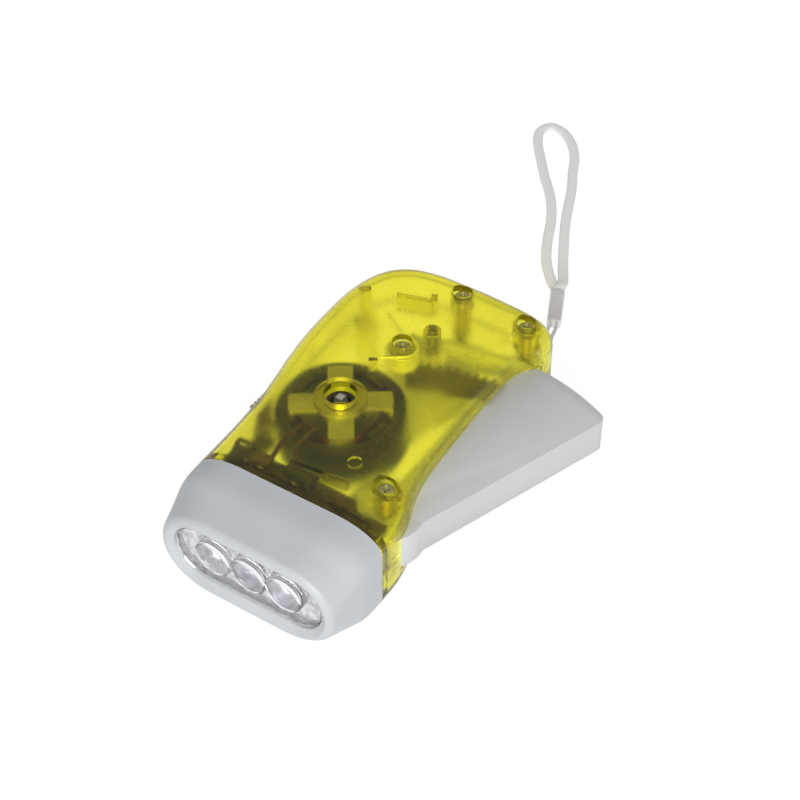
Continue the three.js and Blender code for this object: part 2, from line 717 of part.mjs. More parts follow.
const lensBack = capWall + fit + lensFlange;
const alongY = (solid, y, x = 0) => solid.rotate([90, 0, 0]).translate([x, y, middle]);
const ledPlaces = [-ledPitch, 0, ledPitch];
const domeRadius = ledPitch / 2 - fit / 2;
// domes and cups are turned about an axis along Y: their profiles run from the axis outward
function turnedAlongY(profile, x, count = 16) {
  const lathe = new THREE.LatheGeometry(profile.map(([r, y]) => new THREE.Vector2(r, y)), count);
  return toSolid(lathe.translate(x, 0, middle));
}
const dome = (x) => {
  const profile = [[0, lensBack - fit]];
  for (let i = 0; i <= 5; i++) {
    const angle = (Math.PI / 2) * (1 - i / 5);
    profile.push([domeRadius * Math.sin(angle), lensBack + lensDomeHeight * Math.cos(angle)]);
  }
  profile.splice(1, 0, [domeRadius, lensBack - fit]);
  return turnedAlongY(profile, x);
};
const frontLens = join(
  stadium(windowHalfWidth - fit, windowHalfHeight - fit, lensRecess, lensBack - fit),
  stadium(flangeHalfWidth, flangeHalfHeight, capWall + fit, lensBack),
  ...ledPlaces.map(dome),
);
add('front_lens', frontLens, paint.clear, headGroup);

const reflectorLow = lensBack + lensDomeHeight + fit;
const reflectorHigh = reflectorLow + reflectorDepth;
const cupRadius = ledPitch / 2 - fit;
const cupRearRadius = ledRadius + fit;
const cup = (x) => {
  const profile = [[0, reflectorLow - overrun], [cupRadius, reflectorLow - overrun], [cupRadius, reflectorLow]];
  for (let i = 1; i < 4; i++) {
    const share = i / 4;
    profile.push([mix(cupRadius, cupRearRadius, share ** 1.6), mix(reflectorLow, reflectorHigh, share)]);
  }
  profile.push([cupRearRadius, reflectorHigh], [cupRearRadius, reflectorHigh + overrun], [0, reflectorHigh + overrun]);
  return turnedAlongY(profile, x, 20);
};
add('reflector', cut(
  stadium(flangeHalfWidth - fit, flangeHalfHeight - fit, reflectorLow, reflectorHigh), ...ledPlaces.map(cup),
), paint.chrome, headGroup);

const ledBack = reflectorHigh + fit + lensFlange;
const boardFront = ledBack + fit;
const boardBack = boardFront + boardThickness;
const leadRadius = 0.35;
const leadSpread = ledRadius / 2;
const leadEnd = boardBack + boardThickness / 2;
const ledTip = ledBack - ledLength;
const ledNames = ['led_left', 'led_middle', 'led_right'];
ledPlaces.forEach((x, n) => {
  const profile = [[0, ledTip]];
  for (let i = 1; i <= 4; i++) {
    const angle = (Math.PI / 2) * (i / 4);
    profile.push([ledRadius * Math.sin(angle), ledTip + ledRadius * (1 - Math.cos(angle))]);
  }
  profile.push([ledRadius, reflectorHigh + fit], [ledFlangeRadius, reflectorHigh + fit], [ledFlangeRadius, ledBack]);
  profile.push([0, ledBack]);
  const lead = (side) => turnedAlongY(
    [[0, ledBack - fit], [leadRadius, ledBack - fit], [leadRadius, leadEnd], [0, leadEnd]],
    x + side * leadSpread, 5,
  );
  add(ledNames[n], join(turnedAlongY(profile, x, 14), lead(-1), lead(1)), paint.clear, headGroup);
});

const boardHoles = ledPlaces.flatMap((x) => [-1, 1].map((side) => turnedAlongY([
  [0, boardFront - overrun], [leadRadius + fit, boardFront - overrun],
  [leadRadius + fit, boardBack + overrun], [0, boardBack + overrun],
], x + side * leadSpread, 6)));
add('led_board', cut(
  tunnel(neckHalfWidth - spigotInset - spigotWall - 2 * fit, windowHalfHeight + fit, fit + capWall / 2,
    boardFront, boardBack),
  ...boardHoles,
), paint.board, headGroup);

// circuit board, lying in the spigot, with a corner cut out round the lever's column
const circuitHigh = topInside - neckRibDepth - boardPlay;
const circuitLow = circuitHigh - boardThickness;
const circuitFront = boardBack - faceForward + fit;
const circuitBack = neckRib[0][1] + boardPlay;
const circuitHalf = neckHalfWidth - spigotInset - spigotWall - fit;
const circuitNotch = recessRadius + overrun + 2 * fit;
add('circuit_board', prism([
  [-circuitHalf, circuitFront], [circuitHalf, circuitFront], [circuitHalf, pivot[1] - circuitNotch - wall],
  [pivot[0] - circuitNotch, pivot[1] - circuitNotch - wall], [pivot[0] - circuitNotch - wall, circuitBack],
  [-circuitHalf, circuitBack],
], circuitLow, circuitHigh), paint.board);

// gear outlines
const pressure = 20 * deg;
const thinShare = 0.2; // how much of a tooth's width is given up as running clearance
const involute = (angle) => Math.tan(angle) - angle;
function toothProfile(count, module, addendumShare = 0.85) {
  const pitch = (module * count) / 2;
  const base = pitch * Math.cos(pressure);
  const half = (Math.PI / 2 / count) * (1 - thinShare);
  const halfAt = (radius) => {
    if (radius <= base) return half + involute(pressure);
    return half + involute(pressure) - involute(Math.acos(base / radius));
  };
  const root = pitch - 1.2 * module;
  const tip = pitch + addendumShare * module;
  const radii = count < wheelCount ? [root, Math.max(base, root + 0.25 * module), pitch, tip] : [root, pitch, tip];
  const left = radii.map((radius) => [radius, -halfAt(radius)]);
  return [...left, ...left.toReversed().map(([radius, angle]) => [radius, -angle])];
}
function gearPoints(count, module, [x, y], phase) {
  const points = [];
  for (let tooth = 0; tooth < count; tooth++) {
    for (const [radius, angle] of toothProfile(count, module)) {
      const a = phase + (2 * Math.PI * tooth) / count + angle;
      points.push([x + radius * Math.cos(a), y + radius * Math.sin(a)]);
    }
  }
  return points;
}
// the phase that sets a gear's teeth in the gaps of the gear that drives it
function meshPhase(driverCount, driverPhase, count, direction) {
  const turn = ((direction - driverPhase) * driverCount) / (2 * Math.PI);
  const share = turn - Math.floor(turn);
  return direction + Math.PI - (0.5 - share) * ((2 * Math.PI) / count);
}
const directionOf = ([x0, y0], [x1, y1]) => Math.atan2(y1 - y0, x1 - x0);

// lever with its toothed sector
const toothStep = 360 / sectorCount;
const slotStart = pinionAngle - squeezeAngle
  - (pinionRadius + sectorModule + 2 * fit) / (sectorRadius + pinionRadius) / deg;
const sectorFrom = Math.min(slotStart, 0) - 1; // degrees from +Y toward -X, inside the lever
const sectorTo = endBarStart + endBarWidth;
const sectorPhase = (90 + pinionAngle) * deg;
function arcPoints(radius, from, to, steps) {
  return Array.from({ length: steps + 1 }, (_, i) => fromPivot(radius, mix(from, to, i / steps)));
}
const arcSteps = 12;
const toothedArc = (() => {
  const rootRadius = sectorRadius - 1.2 * sectorModule;
  const inner = arcPoints(rootRadius - sectorRim, sectorTo, sectorFrom, arcSteps);
  const points = [...inner, fromPivot(rootRadius, sectorFrom)];
  const first = Math.ceil((sectorFrom + 90 - sectorPhase / deg) / toothStep) + 1;
  const last = Math.floor((endBarStart + 90 - sectorPhase / deg) / toothStep) - 1;
  for (let tooth = first; tooth <= last; tooth++) {
    for (const [radius, angle] of toothProfile(sectorCount, sectorModule)) {
      points.push(fromPivot(radius, sectorPhase / deg - 90 + tooth * toothStep + angle / deg));
    }
  }
  points.push(fromPivot(rootRadius, sectorTo));
  return points;
})();
const sectorRootInner = sectorRadius - 1.2 * sectorModule - sectorRim;
const outerArc = [
  ...arcPoints(outerArcInner, sectorFrom, sectorTo, arcSteps),
  ...arcPoints(outerArcOuter, sectorTo, sectorFrom, arcSteps),
];
const endBar = [
  fromPivot(sectorRootInner, endBarStart), fromPivot(outerArcInner + overrun, endBarStart),
  fromPivot(outerArcInner + overrun, sectorTo), fromPivot(sectorRootInner, sectorTo),
];

// outline of the lever about the pivot: outer face, rounded tip, inner edge, knuckle
const faceNormal = [Math.cos(leverFaceAngle * deg), -Math.sin(leverFaceAngle * deg)];
const faceAlong = [Math.sin(leverFaceAngle * deg), Math.cos(leverFaceAngle * deg)];
const onFace = (along, inset = 0) => [
  pivot[0] + faceNormal[0] * (leverFaceOffset - inset) + faceAlong[0] * along,
  pivot[1] + faceNormal[1] * (leverFaceOffset - inset) + faceAlong[1] * along,
];
const tipRound = 2.4;
function leverOutline(inset, startAlong) {
  const reach = leverReach - inset;
  const face = leverFaceOffset - inset;
  const round = tipRound - inset / 2;
  // the corner arc touches the face line and the tip arc
  const centreFace = face - round;
  const centreAlong = Math.sqrt((reach - round) ** 2 - centreFace ** 2);
  const corner = onFace(centreAlong, leverFaceOffset - centreFace);
  const toTip = Math.atan2(corner[1] - pivot[1], corner[0] - pivot[0]) / deg;
  const toFace = -leverFaceAngle;
  const points = [onFace(startAlong, inset)];
  for (let i = 0; i <= 5; i++) points.push(polar(corner, round, mix(toFace, toTip, i / 5)));
  const endAngle = Math.asin(leverRest / reach) / deg + 90;
  for (let i = 1; i <= 8; i++) points.push(polar(pivot, reach, mix(toTip, endAngle, i / 8)));
  return points;
}
const leverPlan = [[pivot[0] - leverRest, pivot[1]], ...leverOutline(0, 0)];
const pocketPlan = (() => {
  const points = leverOutline(leverWall, knuckleRadius + leverWall);
  return [
    ...points.slice(0, -2),
    [pivot[0] + leverRest, pivot[1] + sectorRootInner - leverWall + leverRest * 8],
    [pivot[0] + leverRest, pivot[1] + sectorRootInner - leverWall],
    [pivot[0] - knuckleRadius, pivot[1] + sectorRootInner - leverWall],
    [pivot[0] - knuckleRadius, pivot[1] + knuckleRadius + leverWall],
  ];
})();
const leverRibRadius = [0.45, 0.62].map((share) => share * leverReach);
const leverFrame = join(
  prism(leverPlan, leverLow, leverHigh),
  disc(pivot, knuckleRadius, leverLow, leverHigh, 32),
);
const pocketSolid = prism(pocketPlan, leverLow + leverWall, leverHigh - leverWall);
let pocket = pocketSolid;
for (const radius of leverRibRadius) {
  pocket = cut(pocket, tube(pivot, radius + leverWall / 2, radius - leverWall / 2, leverLow, leverHigh, 48));
}
const pinionSlot = prism([
  ...arcPoints(sectorRadius - 1.2 * sectorModule, slotStart, sectorTo, arcSteps),
  ...arcPoints(outerArcInner, sectorTo, slotStart, arcSteps),
], leverLow - overrun, leverHigh + overrun);
let lever = join(
  cut(leverFrame, pocket, pinionSlot),
  prism(toothedArc, sectorLow, sectorHigh),
  prism(outerArc, sectorLow, sectorHigh),
  prism(endBar, sectorLow, sectorHigh),
  disc(stopPinPlace, stopPinRadius, sectorHigh - fit, springLow + 3 * wireRadius, 12),
);
lever = cut(lever, disc(pivot, pivotPostRadius + fit, leverLow - overrun, leverHigh + overrun, 28));
const leverGroup = new THREE.Group();
flashlight.add(leverGroup);
add('squeeze_lever', lever, paint.grey, leverGroup);

// gears
const pinionLow = sectorLow - fit;
const pinionHigh = sectorHigh + fit;
const bore = (centre) => disc(centre, pinRadius + fit, 0, bodyThickness, 16);

const pinionPhase = meshPhase(sectorCount, sectorPhase, pinionCount, directionOf(pivot, firstCentre));
const firstPhase = 0;
const firstGear = cut(join(
  prism(gearPoints(pinionCount, sectorModule, firstCentre, pinionPhase), pinionLow, pinionHigh),
  disc(firstCentre, sleeveRadius, firstLow, pinionLow + fit, 20),
  prism(gearPoints(wheelCount, trainModule, firstCentre, firstPhase), firstLow, firstHigh),
), bore(firstCentre));
add('drive_gear', firstGear, paint.nylon);

const toSecond = directionOf(firstCentre, secondCentre);
const smallPhase = meshPhase(wheelCount, firstPhase, smallCount, toSecond);
const ratchetRadius = 0.62 * wheelRadius;
const ratchetDepth = 1.2;
const ratchetTeeth = 12;
const clutchBottom = firstHigh + fit;
// the wheel has a ratchet ring sunk in its top; the pawl plate on the small gear's sleeve lies in it
const secondPhase = 0;
const ratchetPoints = Array.from({ length: ratchetTeeth }, (_, i) => {
  const a = ((2 * Math.PI) / ratchetTeeth) * i;
  return [
    [secondCentre[0] + ratchetRadius * Math.cos(a), secondCentre[1] + ratchetRadius * Math.sin(a)],
    [
      secondCentre[0] + (ratchetRadius - ratchetDepth) * Math.cos(a + 0.06),
      secondCentre[1] + (ratchetRadius - ratchetDepth) * Math.sin(a + 0.06),
    ],
  ];
}).flat();
const wheelFloor = wheelThickness / 2;
const clutchWheel = cut(
  prism(gearPoints(wheelCount, trainModule, secondCentre, secondPhase), secondLow, secondHigh),
  prism(ratchetPoints, secondLow + wheelFloor, secondHigh + overrun),
  disc(secondCentre, sleeveRadius + fit, 0, bodyThickness, 20),
);
add('clutch_wheel', clutchWheel, paint.nylon);

const pawlCount = 3;
const pawlThickness = 1;
const pawlLow = secondLow + wheelFloor + fit;
const pawl = (n) => {
  const a = (360 / pawlCount) * n;
  const pocketStep = 360 / ratchetTeeth;
  const outerA = polar(secondCentre, ratchetRadius - ratchetDepth - fit, a + pocketStep * 0.4);
  const tip = polar(secondCentre, ratchetRadius - ratchetDepth + fit, a + pocketStep * 0.72);
  const tipIn = polar(secondCentre, ratchetRadius - ratchetDepth - pawlThickness, a + pocketStep * 0.8);
  const root = polar(secondCentre, sleeveRadius - fit, a - pocketStep * 2);
  const rootOut = polar(secondCentre, sleeveRadius + pawlThickness, a - pocketStep * 2.4);
  const bend = polar(secondCentre, ratchetRadius - ratchetDepth - 2 * fit, a - pocketStep * 0.6);
  const bendIn = polar(secondCentre, ratchetRadius - ratchetDepth - pawlThickness - 2 * fit, a - pocketStep * 0.4);
  return prism([root, bendIn, tipIn, tip, outerA, bend, rootOut], pawlLow, secondHigh);
};
const clutchPinion = cut(join(
  prism(gearPoints(smallCount, trainModule, secondCentre, smallPhase), firstLow, firstHigh + wheelGap - fit),
  disc(secondCentre, sleeveRadius, firstLow, secondHigh + fit, 20),
  disc(secondCentre, sleeveRadius + pawlThickness, pawlLow, secondHigh, 20),
  ...Array.from({ length: pawlCount }, (_, n) => pawl(n)),
), bore(secondCentre));
add('clutch_pinion', clutchPinion, paint.nylon);

// flywheel, magnet and stator
const toHub = directionOf(secondCentre, hub);
const rotorPinionPhase = meshPhase(wheelCount, secondPhase, smallCount, toHub);
const rotorPinionHigh = rotorLift + rotorFloor - fit;
const windowCount = 4;
const windowRadius = 2.7;
const windowPlace = (n) =>
  polar(hub, (magnetInner + smallRadius) / 2 + windowRadius / 4, 80 + (360 / windowCount) * n);
const flywheel = cut(
  turned([
    [0, rotorLift], [rotorRadius, rotorLift], [rotorRadius, rotorHigh], [rotorRadius - rotorWall, rotorHigh],
    [rotorRadius - rotorWall, rotorLift + rotorFloor], [0, rotorLift + rotorFloor],
  ], hub, 36),
  disc(hub, smallRadius, rotorLift - overrun, rotorHigh, 24),
  ...Array.from({ length: windowCount }, (_, n) => disc(windowPlace(n), windowRadius, 0, rotorHigh, 12)),
);
add('flywheel', flywheel, paint.black);
const rotorPinion = cut(join(
  prism(gearPoints(smallCount, trainModule, hub, rotorPinionPhase), secondLow, secondHigh + fit),
  disc(hub, smallRadius - fit, secondHigh + fit, rotorPinionHigh, 20),
), bore(hub));
add('rotor_pinion', rotorPinion, paint.nylon);
add('ring_magnet', tube(hub, magnetOuter, magnetInner, magnetLow, rotorHigh, 36), paint.darkSteel);

const clawCount = 4;
const clawTurn = 35; // degrees from +X
function clawPlate(turn, plateLow, tipLow, plateHigh, tipHigh) {
  const arms = Array.from({ length: clawCount }, (_, n) => {
    const a = turn + (360 / clawCount) * n;
    const side = (radius, half) => {
      const spread = Math.asin(half / radius) / deg;
      return [polar(hub, radius, a - spread), polar(hub, radius, a + spread)];
    };
    const [innerA, innerB] = side(hubRingRadius * 0.8, clawWidth / 2);
    const [outerA, outerB] = side(clawRadius, clawWidth / 2);
    const [bendA, bendB] = side(clawRadius - clawThickness, clawWidth / 2);
    const outerMid = polar(hub, clawRadius, a);
    const bendMid = polar(hub, clawRadius - clawThickness, a);
    return join(
      prism([innerA, outerA, outerMid, outerB, innerB], plateLow, plateHigh),
      prism([bendA, outerA, outerMid, outerB, bendB, bendMid], tipLow, tipHigh),
    );
  });
  return cut(
    join(disc(hub, hubRingRadius, plateLow, plateHigh, 16), ...arms),
    disc(hub, coreRadius + fit, 0, bodyThickness, 14),
  );
}
const upperClaw = clawPlate(clawTurn, upperClawHigh - clawThickness, bobbinLow, upperClawHigh, upperClawHigh);
add('upper_claw', upperClaw, paint.zinc);
const lowerClaw = clawPlate(
  clawTurn + 180 / clawCount, lowerClawLow, lowerClawLow, lowerClawLow + clawThickness, bobbinHigh,
);
add('lower_claw', lowerClaw, paint.zinc);

const bobbinBore = coreRadius + fit;
const bobbin = turned([
  [bobbinBore, bobbinLow], [bobbinRadius, bobbinLow], [bobbinRadius, bobbinLow + bobbinFlange],
  [bobbinBore + bobbinFlange, bobbinLow + bobbinFlange], [bobbinBore + bobbinFlange, bobbinHigh - bobbinFlange],
  [bobbinRadius, bobbinHigh - bobbinFlange], [bobbinRadius, bobbinHigh], [bobbinBore, bobbinHigh],
  [bobbinBore, bobbinLow],
], hub, 20);
add('coil_bobbin', bobbin, paint.nylon);
add('coil_winding', tube(
  hub, bobbinRadius - 2 * fit, bobbinBore + bobbinFlange + fit, bobbinLow + bobbinFlange + fit,
  bobbinHigh - bobbinFlange - fit, 20,
), paint.copper);

// the core's neck is squared off where it shows in the housing's round hole
const coreLow = lowerClawLow - fit;
const squareHalf = coreRadius / 2;
const coreHigh = topInside + fit;
add('stator_core', cut(join(
  disc(hub, coreRadius, coreLow, upperClawHigh + fit, 24),
  prism(ring(squareHalf * Math.SQRT2, 4, hub, (clawTurn + 45) * deg), upperClawHigh, coreHigh),
), disc(hub, coreBore, 0, upperClawHigh - clawThickness, 14)), paint.steel);

// axle pins
const pin = (name, centre, high) => add(name, disc(centre, pinRadius, pinLow + fit, high, 14), paint.steel);
pin('drive_gear_pin', firstCentre, firstPinTop);
pin('clutch_pin', secondCentre, rotorLift - 2 * fit);
pin('flywheel_pin', hub, bobbinHigh);

// screws and spring spool
function screw(name, centre, tip) {
  const head = headTop - fit;
  const under = headTop - screwHeadHeight;
  add(name, turned([
    [0, tip], [screwRadius / 3, tip], [screwRadius, tip + screwRadius], [screwRadius, under],
    [screwHeadRadius, under], [screwHeadRadius, head - screwHeadHeight / 3], [screwHeadRadius * 0.7, head], [0, head],
  ], centre, 12), paint.darkSteel);
}
screw('pivot_screw', pivot, middle);
screw('tail_screw_middle', tailMiddle, middle - 3 * wall);
screw('tail_screw_right', tailRight, middle - 3 * wall);
screw('spool_screw', spoolPlace, spoolLow + wall);

const spoolFlange = springRadius + wireRadius;
add('spring_spool', cut(
  turned([
    [0, spoolLow], [spoolFlange, spoolLow], [spoolFlange, spoolLow + wireRadius], [spoolRadius, spoolLow + wireRadius],
    [spoolRadius, spoolHigh], [0, spoolHigh],
  ], spoolPlace, 16),
  disc(spoolPlace, pilotRadius, spoolLow + wireRadius, bodyThickness, 16),
), paint.nylon);

// torsion spring: one unbroken wire, moving leg, curls, fixed leg
const springPath = (() => {
  const stepsPerCurl = 8;
  const movingAngle = directionOf(spoolPlace, stopPinPlace) / deg
    + Math.asin((springRadius + wireRadius + stopPinRadius + fit) / Math.hypot(
      stopPinPlace[0] - spoolPlace[0], stopPinPlace[1] - spoolPlace[1],
    )) / deg;
  // the moving leg leaves the coil at a tangent and passes just behind the stop pin
  const startAngle = movingAngle - 90;
  const start = polar(spoolPlace, springRadius, startAngle);
  const points = [polar(start, movingLegLength, movingAngle), polar(start, movingLegLength / 2, movingAngle)]
    .map(([x, y]) => [x, y, springLow + wireRadius]);
  const endAngle = fixedLegAngle + 90;
  const wound = 360 * springCurls + ((((startAngle - endAngle) % 360) + 360) % 360);
  const count = Math.round((wound / 360) * stepsPerCurl);
  for (let i = 0; i <= count; i++) {
    const [x, y] = polar(spoolPlace, springRadius, startAngle - (wound * i) / count);
    points.push([x, y, springLow + wireRadius + (springPitch * wound * i) / 360 / count]);
  }
  const end = polar(spoolPlace, springRadius, endAngle);
  const endZ = points.at(-1)[2];
  points.push([...polar(end, fixedLegLength, fixedLegAngle), endZ]);
  return points.map(([x, y, z]) => new THREE.Vector3(x, y, z));
})();

// a round wire or cord along points, joined as one skin
function wireAlong(points, radius, sides, heightShare = 1, lift = 0) {
  const rings = points.map((p, i) => {
    const before = points[Math.max(i - 1, 0)];
    const after = points[Math.min(i + 1, points.length - 1)];
    const along = after.clone().sub(before).normalize();
    const across = new THREE.Vector3(0, 0, 1).cross(along).normalize();
    const up = along.clone().cross(across).normalize();
    return Array.from({ length: sides }, (_, k) => {
      const a = (2 * Math.PI * (k + 0.5)) / sides;
      const q = p.clone().addScaledVector(across, radius * Math.cos(a))
        .addScaledVector(up, radius * heightShare * Math.sin(a));
      return [q.x, q.y, q.z + lift];
    });
  });
  return skin(rings);
}
function leastGap(points, radius, skip) {
  let least = Infinity;
  const fine = [];
  for (let i = 0; i + 1 < points.length; i++) {
    for (let k = 0; k < 4; k++) fine.push(points[i].clone().lerp(points[i + 1], k / 4));
  }
  for (let i = 0; i < fine.length; i++) {
    for (let j = i + skip; j < fine.length; j++) least = Math.min(least, fine[i].distanceTo(fine[j]) - 2 * radius);
  }
  return least;
}
console.log(`return spring: least gap to itself ${leastGap(springPath, wireRadius, 16).toFixed(2)} mm`);
add('return_spring', wireAlong(springPath, wireRadius, 5), paint.steel);

// slide switch
add('switch_body', block(
  [switchFaceX, switchY - switchLength / 2, middle - switchHeight / 2],
  [switchFaceX + switchDepth, switchY + switchLength / 2, middle + switchHeight / 2],
), paint.darkSteel);
add('switch_knob', join(
  block(
    [knobWallX - knobProud, knobRest - knobLength / 2, middle - knobHeight / 2],
    [carrierX + carrierThickness, knobRest + knobLength / 2, middle + knobHeight / 2],
  ),
  block(
    [carrierX, switchY - knobLength / 2 + knobTravel, middle - knobHeight / 2],
    [carrierX + carrierThickness, knobRest, middle + knobHeight / 2],
  ),
), paint.grey);

// leads inside the neck
const leadWire = 0.45;
const curvePoints = (places, steps) => new THREE.CatmullRomCurve3(
  places.map(([x, y, z]) => new THREE.Vector3(x, y, z)), false, 'centripetal',
).getSpacedPoints(steps);
const onBoard = circuitHigh + leadWire + fit / 2;
const coilLead = (side) => {
  const exit = polar(hub, bobbinRadius - fit, 260 + side * 8);
  const over = polar(hub, rotorRadius + wall, 260 + side * 6);
  return [
    [...exit, bobbinHigh + leadWire + fit],
    [...polar(hub, rotorRadius - wall, 260 + side * 7), rotorHigh + 2 * fit + leadWire], [...over, rotorHigh + leadWire],
    [hub[0] + side * wall * 2, circuitBack, onBoard + leadWire],
    [hub[0] + side * wall * 2.5, circuitBack - 2 * wall, onBoard],
  ];
};
add('coil_lead_left', wireAlong(curvePoints(coilLead(-1), 16), leadWire, 5), paint.red);
add('coil_lead_right', wireAlong(curvePoints(coilLead(1), 16), leadWire, 5), paint.tan);

const switchTop = middle + switchHeight / 2 + fit / 2;
const switchLeadX = switchFaceX + switchDepth / 2;
const switchLead = (side) => {
  const y = switchY - switchLength / 4 + side * wall / 2;
  return [
    [switchLeadX, y, switchTop], [switchLeadX, y - wall / 2, switchTop + wall],
    [switchLeadX - side * wall / 2, mix(y, circuitBack, 0.6), circuitHigh - wall / 2],
    [switchLeadX + wall / 2 - side * wall, circuitBack, onBoard + leadWire],
    [switchLeadX + wall - side * wall, circuitBack - 2 * wall, onBoard],
  ];
};
add('switch_lead_upper', wireAlong(curvePoints(switchLead(1), 10), leadWire, 5), paint.red);
add('switch_lead_lower', wireAlong(curvePoints(switchLead(-1), 10), leadWire, 5), paint.black);

// wrist strap
// routes as they lie, from the head's front: the string's loop round the tail column, then the tape on the ground
const stringRoute = [
  [10.5, 128, 1.6], [12, 124.4, 3.1], [15.2, 116.4, 8.3], [17.9, 110, 12], [19.2, 105.2, 13.8], [19.4, 101.9, 14],
  [20.15, 98.2, 14], [19.15, 95.75, 14], [16.75, 94.75, 14], [14.3, 95.75, 14], [13.3, 98.2, 14], [14.1, 100.5, 14],
  [16.2, 101.4, 14], [17.7, 103.5, 13.9], [17.4, 107, 12.8], [15.4, 111.6, 10.2], [12.6, 117.8, 6.2],
  [10, 123.6, 2.8], [8.95, 127.3, 1.6],
];
const tapeRoute = [
  [3.75, 140.35, 0.85], [2.4, 141.9, 0.8], [-0.4, 144.4, 0.75], [-6, 151.4, 0.75], [-10.4, 159.8, 0.75],
  [-14.6, 169.4, 0.75], [-19.9, 178.2, 0.75], [-26.2, 185.9, 0.75], [-32.3, 193.9, 0.75], [-37.6, 201.5, 0.75],
  [-39.3, 206.6, 0.75], [-37.6, 210.2, 0.75], [-33.2, 209.6, 0.75], [-28.2, 205.9, 0.75], [-23.4, 199.5, 0.75],
  [-20, 192.2, 0.75], [-16.4, 185.1, 0.75], [-12.8, 176.4, 0.75], [-9.6, 169, 0.75], [-5.2, 160.2, 0.75],
  [-0.8, 151.9, 0.75], [2.9, 145.2, 1.6], [3.8, 142.6, 2.3], [4.05, 140.45, 2.3],
];
add('strap_string', wireAlong(curvePoints(stringRoute, 34), stringDiameter / 2, 8), paint.strap);
add('strap_tape', wireAlong(curvePoints(tapeRoute, 46), tapeWidth / 2, 8, tapeThickness / tapeWidth), paint.strap);

const crimpCentre = [6.9, 133.9];
const crimpAngle = 114.5;
const crimpMesh = add('strap_crimp', toSolid(
  new THREE.BoxGeometry(crimpLength, crimpWidth, crimpThickness, 1, 1, 1),
), paint.steel);
crimpMesh.position.set(crimpCentre[0], crimpCentre[1], crimpThickness / 2);
crimpMesh.rotation.z = crimpAngle * deg;

export default flashlight;
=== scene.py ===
# Looks of a squeeze dynamo flashlight: a clear yellow housing with its dynamo and gears in view,
# a grey head with three lens domes, a grey lever and a wrist strap, on a white floor.
import math

import bmesh
import bpy
import numpy as np
from mathutils import Matrix, Vector


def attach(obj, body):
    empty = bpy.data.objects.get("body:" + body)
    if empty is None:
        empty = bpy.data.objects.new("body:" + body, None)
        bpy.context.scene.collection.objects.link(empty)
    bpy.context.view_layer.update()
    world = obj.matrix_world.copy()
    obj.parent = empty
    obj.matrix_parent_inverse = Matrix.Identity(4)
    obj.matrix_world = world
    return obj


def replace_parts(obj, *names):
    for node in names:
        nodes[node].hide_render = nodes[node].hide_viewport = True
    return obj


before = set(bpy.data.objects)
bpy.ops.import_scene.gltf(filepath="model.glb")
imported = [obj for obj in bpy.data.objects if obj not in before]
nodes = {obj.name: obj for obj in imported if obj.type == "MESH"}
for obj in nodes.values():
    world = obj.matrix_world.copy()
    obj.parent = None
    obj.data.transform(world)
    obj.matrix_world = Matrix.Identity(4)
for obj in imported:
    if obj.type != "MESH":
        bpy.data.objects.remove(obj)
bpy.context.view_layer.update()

MM = 0.001
REST = 52.0  # the origin lies this far behind the zero of the housing's length
FAR = 200.0  # past everything
DEG = math.pi / 180


# camera at the photograph's angle
def make_camera():
    data = bpy.data.cameras.new("camera")
    data.lens = 81
    data.sensor_width = 36
    data.clip_start = 0.01
    camera = bpy.data.objects.new("camera", data)
    camera.location = (0.177717, -0.261290, 0.333618)
    forward = Vector((-0.391781, 0.603289, -0.694658))
    camera.rotation_euler = forward.to_track_quat("-Z", "Y").to_euler()
    bpy.context.scene.collection.objects.link(camera)
    bpy.context.scene.camera = camera


make_camera()


# materials
def new_material(name):
    mat = bpy.data.materials.new(name)
    mat.use_nodes = True
    tree = mat.node_tree
    tree.nodes.clear()
    out = tree.nodes.new("ShaderNodeOutputMaterial")
    shader = tree.nodes.new("ShaderNodeBsdfPrincipled")
    tree.links.new(shader.outputs[0], out.inputs["Surface"])
    return mat, tree, shader, out


def node(tree, kind, **values):
    made = tree.nodes.new(kind)
    for key, value in values.items():
        made.inputs[key.replace("_", " ")].default_value = value
    return made


def connect(tree, *pairs):
    for source, target in pairs:
        tree.links.new(source, target)


def maths(tree, kind, a, b=None):
    """a Math node over sockets or numbers"""
    made = tree.nodes.new("ShaderNodeMath")
    made.operation = kind
    for k, value in enumerate((a, b)):
        if isinstance(value, float):
            made.inputs[k].default_value = value
        elif value is not None:
            tree.links.new(value, made.inputs[k])
    return made.outputs[0]


def mixed(tree, factor, first, second, out):
    """the surface is the first shader, and the second by the factor"""
    mix = tree.nodes.new("ShaderNodeMixShader")
    connect(
        tree, (factor, mix.inputs[0]), (first.outputs[0], mix.inputs[1]), (second.outputs[0], mix.inputs[2]),
        (mix.outputs[0], out.inputs["Surface"]),
    )


def noise(tree, scale, detail=3.0):
    where = tree.nodes.new("ShaderNodeTexCoord")
    made = node(tree, "ShaderNodeTexNoise", Scale=scale, Detail=detail, Roughness=0.5)
    tree.links.new(where.outputs["Object"], made.inputs["Vector"])
    return made


def spread(tree, source, low, high, start=0.3, end=0.7):
    """low to high while the source runs from start to end"""
    made = node(tree, "ShaderNodeMapRange", From_Min=start, From_Max=end, To_Min=low, To_Max=high)
    tree.links.new(source, made.inputs["Value"])
    return made.outputs[0]


def tint(tree, source, dark, light):
    ramp = tree.nodes.new("ShaderNodeValToRGB")
    for mark, place, colour in zip(ramp.color_ramp.elements, (0.3, 0.7), (dark, light)):
        mark.position = place
        mark.color = (*colour, 1)
    tree.links.new(source, ramp.inputs[0])
    return ramp.outputs[0]


def raised(tree, shader, source, strength, distance):
    bump = node(tree, "ShaderNodeBump", Strength=strength, Distance=distance)
    tree.links.new(source, bump.inputs["Height"])
    tree.links.new(bump.outputs[0], shader.inputs["Normal"])


